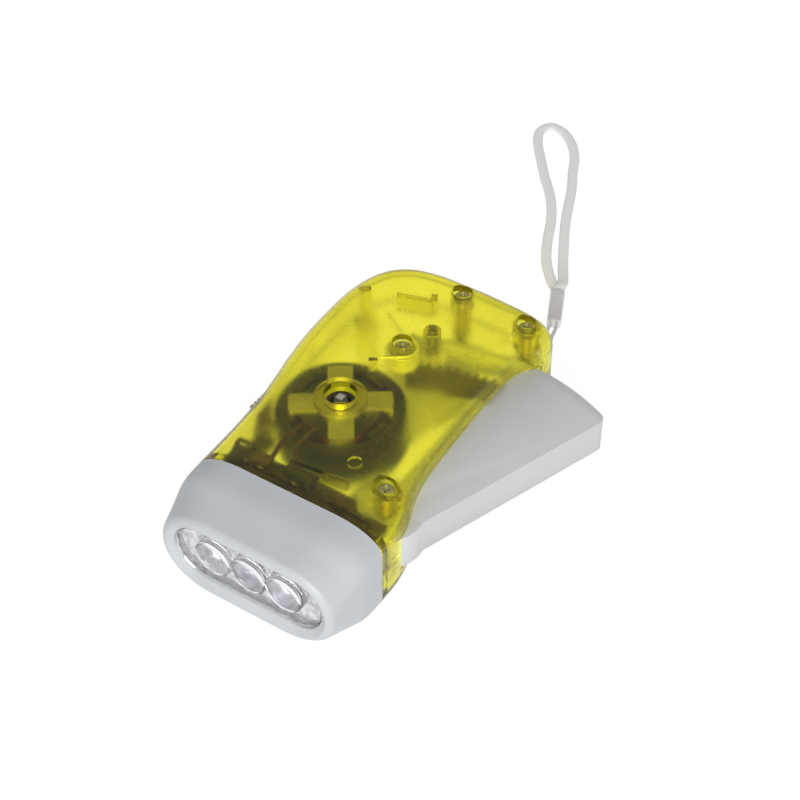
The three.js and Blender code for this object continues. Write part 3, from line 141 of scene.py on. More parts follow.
def plain(name, dark, light, rough, metal=0.0, patch=60.0, grain=2500.0, bump=0.15, coat=0.0, spread_rough=0.06):
    """a solid material with slow colour patches, uneven roughness and a fine moulded or rolled grain"""
    mat, tree, shader, _ = new_material(name)
    slow = noise(tree, patch)
    fine = noise(tree, grain, 2.0)
    tree.links.new(tint(tree, slow.outputs[0], dark, light), shader.inputs["Base Color"])
    tree.links.new(
        spread(tree, slow.outputs[0], max(rough - spread_rough, 0.02), rough + spread_rough),
        shader.inputs["Roughness"],
    )
    shader.inputs["Metallic"].default_value = metal
    shader.inputs["Coat Weight"].default_value = coat
    shader.inputs["Coat Roughness"].default_value = 0.1
    if bump:
        raised(tree, shader, fine.outputs[0], bump, 0.00004)
    return mat


def clear(name, colour, rough, ior, shadow, absorb=None, density=0.0, coat=0.0):
    """clear plastic: refraction with absorption in its depth, and lamps reach what is behind it"""
    mat, tree, shader, out = new_material(name)
    shader.inputs["Base Color"].default_value = (*colour, 1)
    shader.inputs["Transmission Weight"].default_value = 1.0
    shader.inputs["IOR"].default_value = ior
    shader.inputs["Coat Weight"].default_value = coat
    shader.inputs["Coat Roughness"].default_value = 0.03
    uneven = noise(tree, 90.0)
    tree.links.new(spread(tree, uneven.outputs[0], rough * 0.7, rough * 1.3), shader.inputs["Roughness"])
    film = node(tree, "ShaderNodeBsdfTransparent", Color=(*shadow, 1))
    path = tree.nodes.new("ShaderNodeLightPath")
    mixed(tree, path.outputs["Is Shadow Ray"], shader, film, out)
    if absorb:
        depth = node(tree, "ShaderNodeVolumeAbsorption", Color=(*absorb, 1), Density=density)
        tree.links.new(depth.outputs[0], out.inputs["Volume"])
    return mat


YELLOW = clear(
    "clear_yellow", (1.0, 0.995, 0.82), 0.25, 1.36, (1.0, 0.99, 0.74), (0.966, 0.95, 0.06), 620.0, coat=0.12,
)
GREY = plain("grey_plastic", (0.50, 0.52, 0.535), (0.53, 0.55, 0.565), 0.42, grain=3200.0, bump=0.25)
LEVER_GREY = plain("lever_plastic", (0.575, 0.585, 0.60), (0.61, 0.62, 0.635), 0.42, grain=3200.0, bump=0.25)
LENS = clear("clear_lens", (0.93, 0.92, 0.945), 0.05, 1.49, (0.97, 0.97, 0.97))
EPOXY = clear("led_epoxy", (0.62, 0.60, 0.66), 0.16, 1.5, (0.96, 0.96, 0.96))
EPOXY.node_tree.nodes["Principled BSDF"].inputs["Transmission Weight"].default_value = 0.35
CHROME = plain(
    "chrome", (0.36, 0.36, 0.38), (0.93, 0.93, 0.96), 0.14, 0.75,
    patch=520.0, grain=520.0, bump=2.2, spread_rough=0.03,
)
STEEL = plain("steel", (0.42, 0.42, 0.41), (0.52, 0.52, 0.50), 0.3, 1.0, grain=1800.0)
CRIMP = plain("crimp_metal", (0.76, 0.74, 0.77), (0.90, 0.89, 0.92), 0.4, 0.6, grain=1500.0)
DARK_STEEL = plain("dark_steel", (0.10, 0.10, 0.10), (0.16, 0.16, 0.15), 0.34, 1.0, grain=1800.0)
ZINC = plain("zinc", (0.60, 0.57, 0.44), (0.74, 0.70, 0.56), 0.42, 1.0, patch=220.0, grain=1500.0)
BLACK = plain("black_plastic", (0.012, 0.012, 0.013), (0.022, 0.022, 0.024), 0.45)
MAGNET = plain("ferrite", (0.025, 0.025, 0.027), (0.05, 0.05, 0.052), 0.6, grain=1200.0, bump=0.4)
GRIP = plain("grip_brown", (0.16, 0.14, 0.12), (0.22, 0.195, 0.165), 0.5)
SPRING_WIRE = plain("music_wire", (0.74, 0.73, 0.60), (0.84, 0.83, 0.70), 0.4, 0.2, grain=1800.0)
NYLON = plain("nylon", (0.82, 0.81, 0.74), (0.90, 0.89, 0.82), 0.4)
BLACK_NYLON = plain("black_nylon", (0.02, 0.02, 0.02), (0.035, 0.034, 0.032), 0.5)
BOARD = plain("board", (0.05, 0.038, 0.025), (0.08, 0.06, 0.04), 0.4, patch=400.0)
# the red and orange of the leads are darkened near to black: painted shade of the dark region round the board
RED = plain("red_wire", (0.036, 0.012, 0.009), (0.058, 0.017, 0.011), 0.4)
ORANGE = plain("orange_wire", (0.046, 0.024, 0.011), (0.068, 0.033, 0.013), 0.4)
SCREW_STEEL = plain("screw_steel", (0.30, 0.27, 0.11), (0.42, 0.38, 0.16), 0.55, 0.35, patch=500.0, grain=3000.0)
CHIP = plain("led_chip", (0.80, 0.62, 0.06), (0.88, 0.72, 0.10), 0.5)
BROWN = plain("part_brown", (0.05, 0.03, 0.012), (0.09, 0.055, 0.02), 0.35)
BLACK_WIRE = plain("black_wire", (0.015, 0.015, 0.015), (0.03, 0.03, 0.03), 0.4)


def wound_copper():
    """enamelled wire: close turns round the upright axis"""
    mat, tree, shader, _ = new_material("copper")
    shader.inputs["Metallic"].default_value = 1.0
    slow = noise(tree, 300.0).outputs[0]
    where = tree.nodes.new("ShaderNodeTexCoord")
    wave = node(tree, "ShaderNodeTexWave", Scale=1100.0, Distortion=0.3, Detail=1.0)
    wave.bands_direction = "Z"
    connect(
        tree, (tint(tree, slow, (0.42, 0.12, 0.04), (0.60, 0.22, 0.08)), shader.inputs["Base Color"]),
        (spread(tree, slow, 0.22, 0.34), shader.inputs["Roughness"]),
        (where.outputs["Object"], wave.inputs["Vector"]),
    )
    raised(tree, shader, wave.outputs["Fac"], 0.9, 0.0001)
    return mat


def woven(name, dark, light, rib, pick, depth):
    """cord or tape: ribs along it and picks across it, by the UV map in metres"""
    mat, tree, shader, _ = new_material(name)
    where = tree.nodes.new("ShaderNodeTexCoord")
    split = tree.nodes.new("ShaderNodeSeparateXYZ")
    tree.links.new(where.outputs["UV"], split.inputs[0])
    u = maths(tree, "MULTIPLY", split.outputs[0], math.pi / rib)
    v = maths(tree, "MULTIPLY", split.outputs[1], math.pi / pick)
    strands = [maths(tree, "ABSOLUTE", maths(tree, "SINE", maths(tree, way, u, v))) for way in ("ADD", "SUBTRACT")]
    over, under = (maths(tree, kind, *strands) for kind in ("MAXIMUM", "MINIMUM"))
    weave = maths(tree, "MULTIPLY", over, maths(tree, "ADD", maths(tree, "MULTIPLY", under, 0.5), 0.5))
    fuzz = noise(tree, 4000.0, 2.0).outputs[0]
    shade = maths(tree, "ADD", maths(tree, "MULTIPLY", weave, 0.8), maths(tree, "MULTIPLY", fuzz, 0.2))
    tree.links.new(tint(tree, shade, dark, light), shader.inputs["Base Color"])
    shader.inputs["Roughness"].default_value = 0.75
    shader.inputs["Sheen Weight"].default_value = 0.3
    shader.inputs["Sheen Roughness"].default_value = 0.5
    raised(tree, shader, weave, 0.8, depth)
    return mat


COPPER = wound_copper()
TAPE = woven("strap_tape", (0.84, 0.83, 0.86), (0.97, 0.97, 0.98), 0.0006, 0.0009, 0.00014)
STRING = woven("strap_string", (0.66, 0.63, 0.69), (0.88, 0.86, 0.91), 0.0005, 0.0008, 0.0001)


# routes
def catmull(points, per_span=40):
    """dense points on the centripetal curve through the points"""
    p = np.array(points, float)
    p = np.vstack([2 * p[0] - p[1], p, 2 * p[-1] - p[-2]])
    out = []
    for i in range(1, len(p) - 2):
        p0, p1, p2, p3 = p[i - 1 : i + 3]
        d0, d1, d2 = (math.sqrt(np.linalg.norm(b - a)) for a, b in ((p0, p1), (p1, p2), (p2, p3)))
        t1 = ((p1 - p0) / d0 - (p2 - p0) / (d0 + d1) + (p2 - p1) / d1) * d1
        t2 = ((p2 - p1) / d1 - (p3 - p1) / (d1 + d2) + (p3 - p2) / d2) * d1
        for s in np.arange(per_span) / per_span:
            out.append(p1 + t1 * s + (-3 * p1 + 3 * p2 - 2 * t1 - t2) * s**2 + (2 * p1 - 2 * p2 + t1 + t2) * s**3)
    out.append(p[-2])
    return np.array(out)


def even(line, count):
    """count steps of equal length along a line"""
    along = np.concatenate([[0], np.cumsum(np.linalg.norm(np.diff(line, axis=0), axis=1))])
    at = np.linspace(0, along[-1], count + 1)
    return np.stack([np.interp(at, along, line[:, k]) for k in range(line.shape[1])], axis=1)


# meshes: built in millimetres from the zero of the housing's length, kept in metres in the shared frame
def to_frame(points):
    p = np.array(points, float).reshape(-1, 3)
    return (p - np.array([0, REST, 0])) * MM


def mesh_object(name, points, faces, mat, smooth=40):
    mesh = bpy.data.meshes.new(name)
    mesh.from_pydata([tuple(p) for p in to_frame(points)], [], [tuple(f) for f in faces])
    mesh.validate()
    obj = bpy.data.objects.new(name, mesh)
    bpy.context.scene.collection.objects.link(obj)
    mesh.materials.append(mat)
    outward(obj)
    shade(obj, smooth)
    return obj


def outward(obj):
    bm = bmesh.new()
    bm.from_mesh(obj.data)
    bmesh.ops.recalc_face_normals(bm, faces=bm.faces)
    bm.to_mesh(obj.data)
    bm.free()


def shade(obj, angle):
    obj.data.shade_smooth()
    obj.data.set_sharp_from_angle(angle=angle * DEG)


def baked(obj):
    """the object with its modifiers applied"""
    graph = bpy.context.evaluated_depsgraph_get()
    mesh = bpy.data.meshes.new_from_object(obj.evaluated_get(graph))
    old = obj.data
    obj.modifiers.clear()
    obj.data = mesh
    mesh.name = obj.name
    if old.users == 0:
        bpy.data.meshes.remove(old)
    return obj


def drop(obj):
    mesh = obj.data
    bpy.data.objects.remove(obj)
    if mesh.users == 0:
        bpy.data.meshes.remove(mesh)


def paint(obj, mat):
    obj.data.materials.clear()
    obj.data.materials.append(mat)


def combine(base, tools, operation):
    """joins, cuts or intersects base with each tool, and removes the tools"""
    for tool in tools:
        mod = base.modifiers.new("tool", "BOOLEAN")
        mod.operation = operation
        mod.solver = "MANIFOLD"
        mod.object = tool
    baked(base)
    for tool in tools:
        drop(tool)
    return base


def skin(rings, caps=True):
    """points and faces of a skin over rings of equal count"""
    count, last = len(rings[0]), (len(rings) - 1) * len(rings[0])
    faces = []
    for low in range(0, last, count):
        for i in range(count):
            j = (i + 1) % count
            faces.append((low + i, low + j, low + count + j, low + count + i))
    if caps:
        faces += [tuple(reversed(range(count))), tuple(range(last, last + count))]
    return [p for ring_points in rings for p in ring_points], faces


def looped(rings):
    """points and faces of a skin whose last ring joins the first"""
    points, faces = skin(rings, False)
    count, last = len(rings[0]), (len(rings) - 1) * len(rings[0])
    for i in range(count):
        j = (i + 1) % count
        faces.append((last + i, last + j, j, i))
    return points, faces


def quarter(count, first=0):
    """sine and cosine at even steps of a quarter turn"""
    return [(math.sin(a), math.cos(a)) for a in (math.pi / 2 * i / count for i in range(first, count + 1))]


def prism(name, outline, low, high, mat=None):
    rings = [[(x, y, z) for x, y in outline] for z in (low, high)]
    return mesh_object(name, *skin(rings), mat or GREY, 30)


def ring(centre, radius, count=48):
    return [polar(centre, radius, 360 * i / count) for i in range(count)]


def polar(centre, radius, angle):
    return (centre[0] + radius * math.cos(angle * DEG), centre[1] + radius * math.sin(angle * DEG))


def disc(name, centre, radius, low, high, count=48):
    rings = [[(x, y, z) for x, y in ring(centre, radius, count)] for z in (low, high)]
    return mesh_object(name, *skin(rings), YELLOW)


def box(name, low, high, mat=None):
    (x0, y0, z0), (x1, y1, z1) = low, high
    return prism(name, [(x0, y0), (x1, y0), (x1, y1), (x0, y1)], z0, z1, mat)


def turned(name, profile, centre, mat, count=48, along="Z", smooth=40):
    """a turned solid; the profile runs (radius, place) from the axis back to the axis"""
    rings = []
    for r, t in profile[1:-1]:
        circle = ring((0, 0), r, count)
        if along == "Z":
            rings.append([(centre[0] + x, centre[1] + y, t) for x, y in circle])
        else:
            rings.append([(centre[0] + x, t, centre[1] + y) for x, y in circle])
    points, faces = skin(rings, False)
    for k, ((_, t), rim) in enumerate(((profile[0], 0), (profile[-1], len(rings) - 1))):
        tip = len(points)
        points.append((centre[0], centre[1], t) if along == "Z" else (centre[0], t, centre[1]))
        for i in range(count):
            a, b = rim * count + i, rim * count + (i + 1) % count
            faces.append((tip, a, b) if k == 0 else (tip, b, a))
    return mesh_object(name, points, faces, mat, smooth)


def swept(name, line, section, mat):
    """a closed tube: section points (across, up) carried along a line of points, with UVs in metres"""
    count = len(section)
    rings = []
    for i, p in enumerate(line):
        along = line[min(i + 1, len(line) - 1)] - line[max(i - 1, 0)]
        along = along / np.linalg.norm(along)
        across = np.cross([0, 0, 1], along)
        across /= np.linalg.norm(across)
        up = np.cross(along, across)
        rings.append([tuple(p + across * a + up * b) for a, b in section])
    obj = mesh_object(name, *skin(rings), mat, 60)
    around = [0.0]
    for (a, b), (c, d) in zip(section, section[1:] + section[:1]):
        around.append(around[-1] + math.hypot(c - a, d - b) * MM)
    run = np.concatenate([[0], np.cumsum(np.linalg.norm(np.diff(line, axis=0), axis=1))]) * MM
    layer = obj.data.uv_layers.new(name="run")
    for poly in obj.data.polygons:
        corners = [divmod(v, count) for v in poly.vertices]
        wraps = {k for _, k in corners} == {0, count - 1}
        for loop, (row, k) in zip(poly.loop_indices, corners):
            layer.data[loop].uv = (around[count] if wraps and k == 0 else around[k], run[row])
    return obj


def wire(name, route, steps, thickness, count, mat):
    """a round wire on the curve through the route's points"""
    return swept(name, even(catmull(route), steps), oval(thickness, thickness, count, 2.0), mat)


def oval(width, height, count=20, power=2.6):
    """a flattened round section"""
    out = []
    for i in range(count):
        a = 2 * math.pi * (i + 0.5) / count
        c, s = math.cos(a), math.sin(a)
        r = (abs(c) ** power + abs(s) ** power) ** (-1 / power)
        out.append((width / 2 * r * c, height / 2 * r * s))
    return out


def fixed(obj):
    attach(obj, "housing")
    return obj


def stand_in(obj, cad):
    """a piece of the housing's body that is seen in place of a CAD node"""
    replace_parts(fixed(obj), cad)
    return obj


# wrist strap: the same routes as the solids
STRING_ROUTE = [
    (10.5, 128, 1.6), (12, 124.4, 3.1), (15.2, 116.4, 8.3), (17.9, 110, 12), (19.2, 105.2, 13.8),
    (19.4, 101.9, 14), (20.15, 98.2, 14), (19.15, 95.75, 14), (16.75, 94.75, 14), (14.3, 95.75, 14),
    (13.3, 98.2, 14), (14.1, 100.5, 14), (16.2, 101.4, 14), (17.7, 103.5, 13.9), (17.4, 107, 12.8),
    (15.4, 111.6, 10.2), (12.6, 117.8, 6.2), (10, 123.6, 2.8), (8.95, 127.3, 1.6),
]
TAPE_ROUTE = [
    (3.75, 140.35, 0.85), (2.4, 141.9, 0.8), (-0.4, 144.4, 0.75), (-6, 151.4, 0.75), (-10.4, 159.8, 0.75),
    (-14.6, 169.4, 0.75), (-19.9, 178.2, 0.75), (-26.2, 185.9, 0.75), (-32.3, 193.9, 0.75),
    (-37.6, 201.5, 0.75), (-39.3, 206.6, 0.75), (-37.6, 210.2, 0.75), (-33.2, 209.6, 0.75),
    (-28.2, 205.9, 0.75), (-23.4, 199.5, 0.75), (-20, 192.2, 0.75), (-16.4, 185.1, 0.75),
    (-12.8, 176.4, 0.75), (-9.6, 169, 0.75), (-5.2, 160.2, 0.75), (-0.8, 151.9, 0.75), (2.9, 145.2, 1.6),
    (3.8, 142.6, 2.3), (4.05, 140.45, 2.3),
]


def crimp():
    """a folded metal tube with rounded edges, pressed ribs across it and the fold's seam on top"""
    length, width, high = 13.0, 4.2, 3.1
    centre, turn = (6.9, 133.9), 114.5 * DEG
    along = Vector((math.cos(turn), math.sin(turn), 0))
    across = Vector((-math.sin(turn), math.cos(turn), 0))
    rings = []
    steps = 78
    for i in range(steps + 1):
        t = -length / 2 + length * i / steps
        edge = min(t + length / 2, length / 2 - t)
        pressed = 0.16 if edge > 1.2 and (t * 1.15) % 1.0 < 0.5 else 0.0
        slack = (0.0 if edge > 0.3 else 0.06) - 0.12 - pressed
        section = []
        for a, b in oval(width + slack, high + slack, 36, 4.5):
            seam = 0.2 * math.exp(-((a / 0.12) ** 2)) if b > 0 else 0.0
            p = Vector((*centre, high / 2)) + along * t + across * a
            section.append((p.x, p.y, p.z + b - seam))
        rings.append(section)
    return mesh_object("crimp_sleeve", *skin(rings), CRIMP, 50)


def strap():
    sleeve = stand_in(crimp(), "strap_crimp")
    for name, cad, route, steps, section, mat, diameter in (
        ("strap_thread", "strap_string", STRING_ROUTE, 160, oval(1.0, 1.0, 12, 2.0), STRING, 0.001),
        ("strap_loop", "strap_tape", TAPE_ROUTE, 260, oval(3.0, 1.3, 20, 3.2), TAPE, 0.003),
    ):
        line = even(catmull(route), steps)
        piece = stand_in(swept(name, line, section, mat), cad)


strap()

# housing sizes, in millimetres
LENGTH, THICK, NECK, WALL, EDGE, FIT = 105.6, 28.0, 26.3, 2.0, 6.5, 0.3
MIDDLE = THICK / 2
CAP_SEAM = 16.4  # where the head ends
SEAM = CAP_SEAM + FIT
FACE_TURN, NECK_TURN = 13.7, 13  # widths of the corners' rounds
PIVOT = (NECK - 8.5, 30.8)
PLAN_SHARES = [
    (0.995, 0.22), (0.95, 0.28), (0.85, 0.345), (0.785, 0.42), (0.755, 0.53), (0.735, 0.68),
    (0.737, 0.79), (0.785, 0.845), (0.875, 0.876), (0.935, 0.903), (0.925, 0.937), (0.835, 0.963), (0.65, 0.982),
    (0.38, 0.993), (0.08, 0.999), (-0.23, 1), (-0.52, 0.996), (-0.78, 0.979), (-0.98, 0.944), (-1.11, 0.89),
    (-1.18, 0.815), (-1.19, 0.72), (-1.172, 0.625), (-1.127, 0.54), (-1.075, 0.47), (-1.03, 0.4), (-1.007, 0.29),
]
TAIL_MIDDLE = (-0.13 * NECK, LENGTH - 5.9)
TAIL_RIGHT = (0.635 * NECK, 0.93 * LENGTH)
DOWEL = (-0.985 * NECK, 0.83 * LENGTH)


def plan_line(count):
    shares = np.array([(1, SEAM / LENGTH), *PLAN_SHARES, (-1, SEAM / LENGTH)])
    return even(catmull(shares * [NECK, LENGTH]), count)


def round_shares(count):
    """how far the edge can be rounded at each point of the plan"""
    coarse, reach = 64, 3
    plan = plan_line(coarse)
    room = np.full(coarse + 1, LENGTH)
    for i in range(reach, coarse + 1 - reach):
        u, v = plan[i] - plan[i - reach], plan[i + reach] - plan[i]
        turn = math.atan2(u[0] * v[1] - u[1] * v[0], u @ v)
        if turn > 0:
            room[i] = min((np.linalg.norm(u) + np.linalg.norm(v)) / 2 / turn, LENGTH)
    window = range(-reach, reach + 1)
    least = np.array([min(room[(i + k) % (coarse + 1)] for k in window) for i in range(coarse + 1)])
    shares = np.minimum(1, 0.6 * least / EDGE)
    for _ in range(3):
        shares = (np.roll(shares, 1) + shares + np.roll(shares, -1)) / 3
    fine = np.interp(np.linspace(0, coarse, count + 1), np.arange(coarse + 1), shares)
    near = np.clip(1 - (plan_line(count)[:, 1] - SEAM) / 30, 0, 1)
    fine = fine + (NECK_TURN / EDGE - fine) * near**2 * (3 - 2 * near)
    blur = 9
    return np.convolve(np.pad(fine, blur // 2, mode="edge"), np.ones(blur) / blur, "valid")


def plan_solid(name, inset, forward, steps):
    """the housing's outside, or a solid that lies inset within it and starts further forward"""
    count = 256
    plan, shares = plan_line(count), round_shares(count)
    run = np.gradient(plan, axis=0)
    run /= np.linalg.norm(run, axis=1)[:, None]
    normals = np.stack([run[:, 1], -run[:, 0]], axis=1)
    normals[0], normals[-1] = (1, 0), (-1, 0)
    levels = [(inset + (EDGE - inset) * (1 - s), inset + (EDGE - inset) * (1 - c)) for s, c in quarter(steps)]
    levels += [(d, THICK - z) for d, z in reversed(levels)]
    rings = []
    for d, z in [(levels[0][0] + 0.8, levels[0][1]), *levels, (levels[-1][0] + 0.8, levels[-1][1])]:
        p = plan - normals * (inset * np.minimum(shares, 1) + (d - inset) * shares)[:, None]
        p[0, 1] -= forward
        p[-1, 1] -= forward
        rings.append([(x, y, z) for x, y in p])
    return mesh_object(name, *skin(rings), YELLOW)


def rounded(half_width, half_height, radius, y, steps=10, wide=0):
    """a ring with rounded corners, elliptic where their width is given"""
    wide = wide or radius
    out = []
    for corner, (sx, sz) in enumerate(((1, 1), (-1, 1), (-1, -1), (1, -1))):
        for i in range(steps + 1):
            a = math.pi / 2 * (corner + i / steps)
            out.append((sx * (half_width - wide) + wide * math.cos(a), y,
                        MIDDLE + sz * (half_height - radius) + radius * math.sin(a)))
    return out


def tunnel(name, half_width, half_height, radius, y0, y1, mat, edge=0.0, wide=0):
    """a straight bar along the length with a rounded section, with small rounds at its ends"""
    ends = [(edge * (1 - s), edge * (1 - c)) for s, c in quarter(4)] if edge else [(0, 0)]
    places = [(d, y0 + in_by) for d, in_by in ends] + [(d, y1 - in_by) for d, in_by in reversed(ends)]
    rings = [rounded(half_width - d, half_height - d, radius - d, y, 10, wide and wide - d) for d, y in places]
    return mesh_object(name, *skin(rings), mat)


def from_pivot(radius, angle):
    return (PIVOT[0] - radius * math.sin(angle * DEG), PIVOT[1] + radius * math.cos(angle * DEG))


# the mechanism's axles and levels, as in the solids
FIRST, SECOND, HUB = (-2.268687, 83.080473), (-8.014625, 67.293636), (-8.454398, 50.499393)
SPOOL = polar(FIRST, 9.28, 246.83)
LEVER_LOW, LEVER_HIGH, KNUCKLE = MIDDLE - 5.3, MIDDLE + 4.5, 9.6
SLOT_LOW, SLOT_HIGH = LEVER_LOW - 0.5, LEVER_HIGH + 0.5
REACH = 62.9 + 0.8  # outer edge of the lever's guide arc, and its room
TOP_IN = THICK - WALL
TOP_ROOT, LOW_ROOT = TOP_IN + 1, WALL - 1
SCREW_TOP = THICK - 1.6  # of the screws' heads, with FIT above them
HEAD_HIGH, HEAD_WIDE = 1.6, 2.2
CLAW_TOP = 24.1
GEAR_LOW, GEAR_THICK, GEAR_GAP = WALL + 1, 2.2, 0.7
SECTOR_TOP = MIDDLE + 3.4
PIN_HOLE, SCREW_HOLE = 1.3, 1.6
PARTING = 0.1  # each shell ends this far from the middle
SPRING_RADIUS, WIRE_RADIUS = 4.0, 0.38
RIB, STOP_LOW = 0.6, 22.53  # half a thin rib's thickness, and the foot of the ribs that the spring's end leans on


def strip(name, a, b, half, low, high):
    """an upright plate from a to b"""
    length = math.hypot(b[0] - a[0], b[1] - a[1])
    nx, ny = (a[1] - b[1]) * half / length, (b[0] - a[0]) * half / length
    outline = [(a[0] + nx, a[1] + ny), (a[0] - nx, a[1] - ny), (b[0] - nx, b[1] - ny), (b[0] + nx, b[1] + ny)]
    return prism(name, outline, low, high, YELLOW)


def slot_tool():
    """the way of the lever through the side; in front it follows the round of the lever's knuckle"""
    inner = PIVOT[0] - KNUCKLE / 4
    outline = [(inner, PIVOT[1] - KNUCKLE - FIT)]
    outline += [polar(PIVOT, KNUCKLE + FIT, -90 + i * 6.4) for i in range(11)]
    outline.append((90, outline[-1][1]))
    outline += [from_pivot(REACH, -60 + i * 3.7) for i in range(17)]
    outline.append((inner, PIVOT[1] + REACH * 0.9))
    return prism("slot", outline, SLOT_LOW, SLOT_HIGH)


def knob_tool():
    return box("knob_slot", (KNOB_WALL - WALL, KNOB_REST - KNOB_HALF - KNOB_TRAVEL - FIT, MIDDLE - 1.6),
               (SWITCH_WALL + WALL + FIT, KNOB_REST + KNOB_HALF + FIT, MIDDLE + 1.6))


def plan_side(y):
    plan = plan_line(512)
    best = 0
    for a, b in zip(plan, plan[1:]):
        if (a[1] - y) * (b[1] - y) <= 0 and a[1] != b[1]:
            best = min(best, a[0] + (b[0] - a[0]) * (y - a[1]) / (b[1] - a[1]))
    return best


KNOB_REST, KNOB_HALF, KNOB_TRAVEL = 0.388 * LENGTH, 2.1, 2.5
SWITCH_Y = 0.317 * LENGTH
KNOB_WALL, SWITCH_WALL = plan_side(KNOB_REST), plan_side(SWITCH_Y)
SPIGOT_INSET = 1.8 + FIT


def spigot():
    """the square tube that the head is pushed on, with its collar"""
    def tube(name, inset, y0, y1):
        return tunnel(name, NECK - inset, MIDDLE - inset, EDGE - inset, y0, y1, YELLOW, wide=NECK_TURN - inset)

    outer = tube("spigot", SPIGOT_INSET, SEAM - 3.6, SEAM + 1)
    combine(outer, [tube("collar", 1, SEAM + FIT, SEAM + 3)], "UNION")
    return combine(outer, [tube("bore", SPIGOT_INSET + 1.5, SEAM - 5, SEAM + 4)], "DIFFERENCE")


def rimmed_hole(name, centre, radius, low, edge, count=48):
    """a hole from the top down to low, with a rounded rim"""
    profile = [(0, low), (radius, low), (radius, THICK - edge)]
    profile += [(radius + edge * (1 - c), THICK - edge + edge * s) for s, c in quarter(4, 1)]
    profile += [(radius + edge, THICK + 1), (0, THICK + 1)]
    return turned(name, profile, centre, YELLOW, count)


def ribs(places, half, low):
    """plates under the top wall, from place to place"""
    return [strip("rib", a, b, half, low, TOP_ROOT) for a, b in zip(places, places[1:])]


def placed(*shares):
    return [(x * NECK, y * LENGTH) for x, y in shares]


def half_of_all(top):
    """everything above or below the parting of the two shells"""
    low, high = (MIDDLE + PARTING, FAR) if top else (-FAR, MIDDLE - PARTING)
    return box("half", (-FAR, -FAR, low), (FAR, FAR, high))


def shell(name, top):
    hull = plan_solid(name, 0, 0, 10)
    combine(hull, [plan_solid("inside", WALL, 1, 8)], "DIFFERENCE")
    eyelet = strip("eyelet", TAIL_RIGHT, polar(TAIL_RIGHT, 19.5, 68), 2.2, MIDDLE - 1.7, MIDDLE + 1.7)
    combine(hull, [slot_tool(), eyelet], "DIFFERENCE")
    foot, head = MIDDLE + PARTING, MIDDLE - PARTING
    screws = (PIVOT, TAIL_MIDDLE, TAIL_RIGHT, SPOOL)
    if top:
        adds = [disc("column", centre, radius, low, TOP_ROOT) for centre, radius, low in (
            (PIVOT, 3.6, SLOT_HIGH + FIT), (TAIL_MIDDLE, 2.6, foot), (TAIL_RIGHT, 2.6, foot),
            (TAIL_RIGHT, 3.6, SLOT_HIGH + FIT), (TAIL_MIDDLE, 3.1, TOP_IN - 4),
            (SPOOL, 3.1, SCREW_TOP - HEAD_HIGH - 1), (FIRST, 2.3, SECTOR_TOP + GEAR_GAP),
            (DOWEL, 1.5, foot + FIT), (*placed((0.27, 0.32)), 1.75, TOP_IN - 1.1),
        )]
        adds.append(disc("hub", HUB, 6.7, CLAW_TOP + FIT, TOP_ROOT, 64))
        adds += ribs(placed((-0.67, 0.853), (-0.315, 0.88), (-0.355, 0.905)), 0.8, TOP_IN - 5)
        leg_side = SPRING_RADIUS + WIRE_RADIUS + FIT + RIB
        adds += ribs([polar(polar(SPOOL, 6.4 * s, 215), leg_side, 305) for s in (1, 1.35)], RIB, STOP_LOW)
        adds += ribs(placed((-0.22, 0.243), (0.357, 0.26)), RIB, TOP_IN - 3)
    else:
        adds = [disc("column", centre, radius, LOW_ROOT, high) for centre, radius, high in (
            (PIVOT, 3.8, LEVER_LOW - FIT), (TAIL_MIDDLE, 2.6, head), (TAIL_RIGHT, 2.6, head), (DOWEL, 3.0, head),
            (FIRST, 2.3, GEAR_LOW - FIT), (SECOND, 2.3, GEAR_LOW - FIT),
            (HUB, 2.3, GEAR_LOW + GEAR_THICK + GEAR_GAP - FIT),
        )]
    combine(hull, adds, "UNION")
    combine(hull, [plan_solid("outside", 0, 0, 10), half_of_all(top)], "INTERSECT")
    combine(hull, [combine(spigot(), [half_of_all(top)], "INTERSECT")], "UNION")
    if top:
        tools = [rimmed_hole("recess", c, 2.6, SCREW_TOP - 1.9, 0.35) for c in screws]
        tools += [disc("way", c, SCREW_HOLE, foot - 1, THICK) for c in screws]
        tools.append(rimmed_hole("mouth", HUB, 4.1, CLAW_TOP - 1, 0.4, 64))
    else:
        combine(hull, [disc("post", PIVOT, 2.8, LOW_ROOT, SLOT_HIGH)], "UNION")
        tools = [disc("pin_hole", c, PIN_HOLE, LOW_ROOT, THICK) for c in (FIRST, SECOND, HUB)]
        tools.append(disc("dowel_hole", DOWEL, 1.8, WALL, THICK))
        tools += [disc("screw_hole", c, SCREW_HOLE, LOW_ROOT + WALL, THICK) for c in screws[:3]]
    combine(hull, [*tools, knob_tool()], "DIFFERENCE")
    paint(hull, YELLOW)
    for poly in hull.data.polygons:
        poly.material_index = 0
    shade(hull, 38)
    return weigh(hull)


def weigh(obj):
    mod = obj.modifiers.new("even", "WEIGHTED_NORMAL")
    mod.keep_sharp = True
    mod.weight = 100
    return baked(obj)


stand_in(shell("housing_top", True), "upper_shell")
stand_in(shell("housing_bottom", False), "lower_shell")


# head: flared from its face to the rounded seam; its parts are drawn from the face, which stands ahead of zero
FORWARD = 1.4
FRONT_WALL, LED_RADIUS, LEG_APART = 1.8, 2.5, 1.25
LENS_BACK = FRONT_WALL + FIT + 1.1
REFLECTOR_LOW = LENS_BACK + FIT  # its rim comes up round the domes
REFLECTOR_HIGH = LENS_BACK + 1.5 + FIT + 5.6
LED_BACK = REFLECTOR_HIGH + FIT + 1.1
LED_TIP = LED_BACK - 6.6
PITCH, DOME_PITCH = 9.8, 10.1  # of the LEDs, and of the domes in front of them
WINDOW_WIDE, WINDOW_HIGH, FLANGE_WIDE, FLANGE_HIGH = 21.1, 7.9, 22.2, 9.0  # half sizes


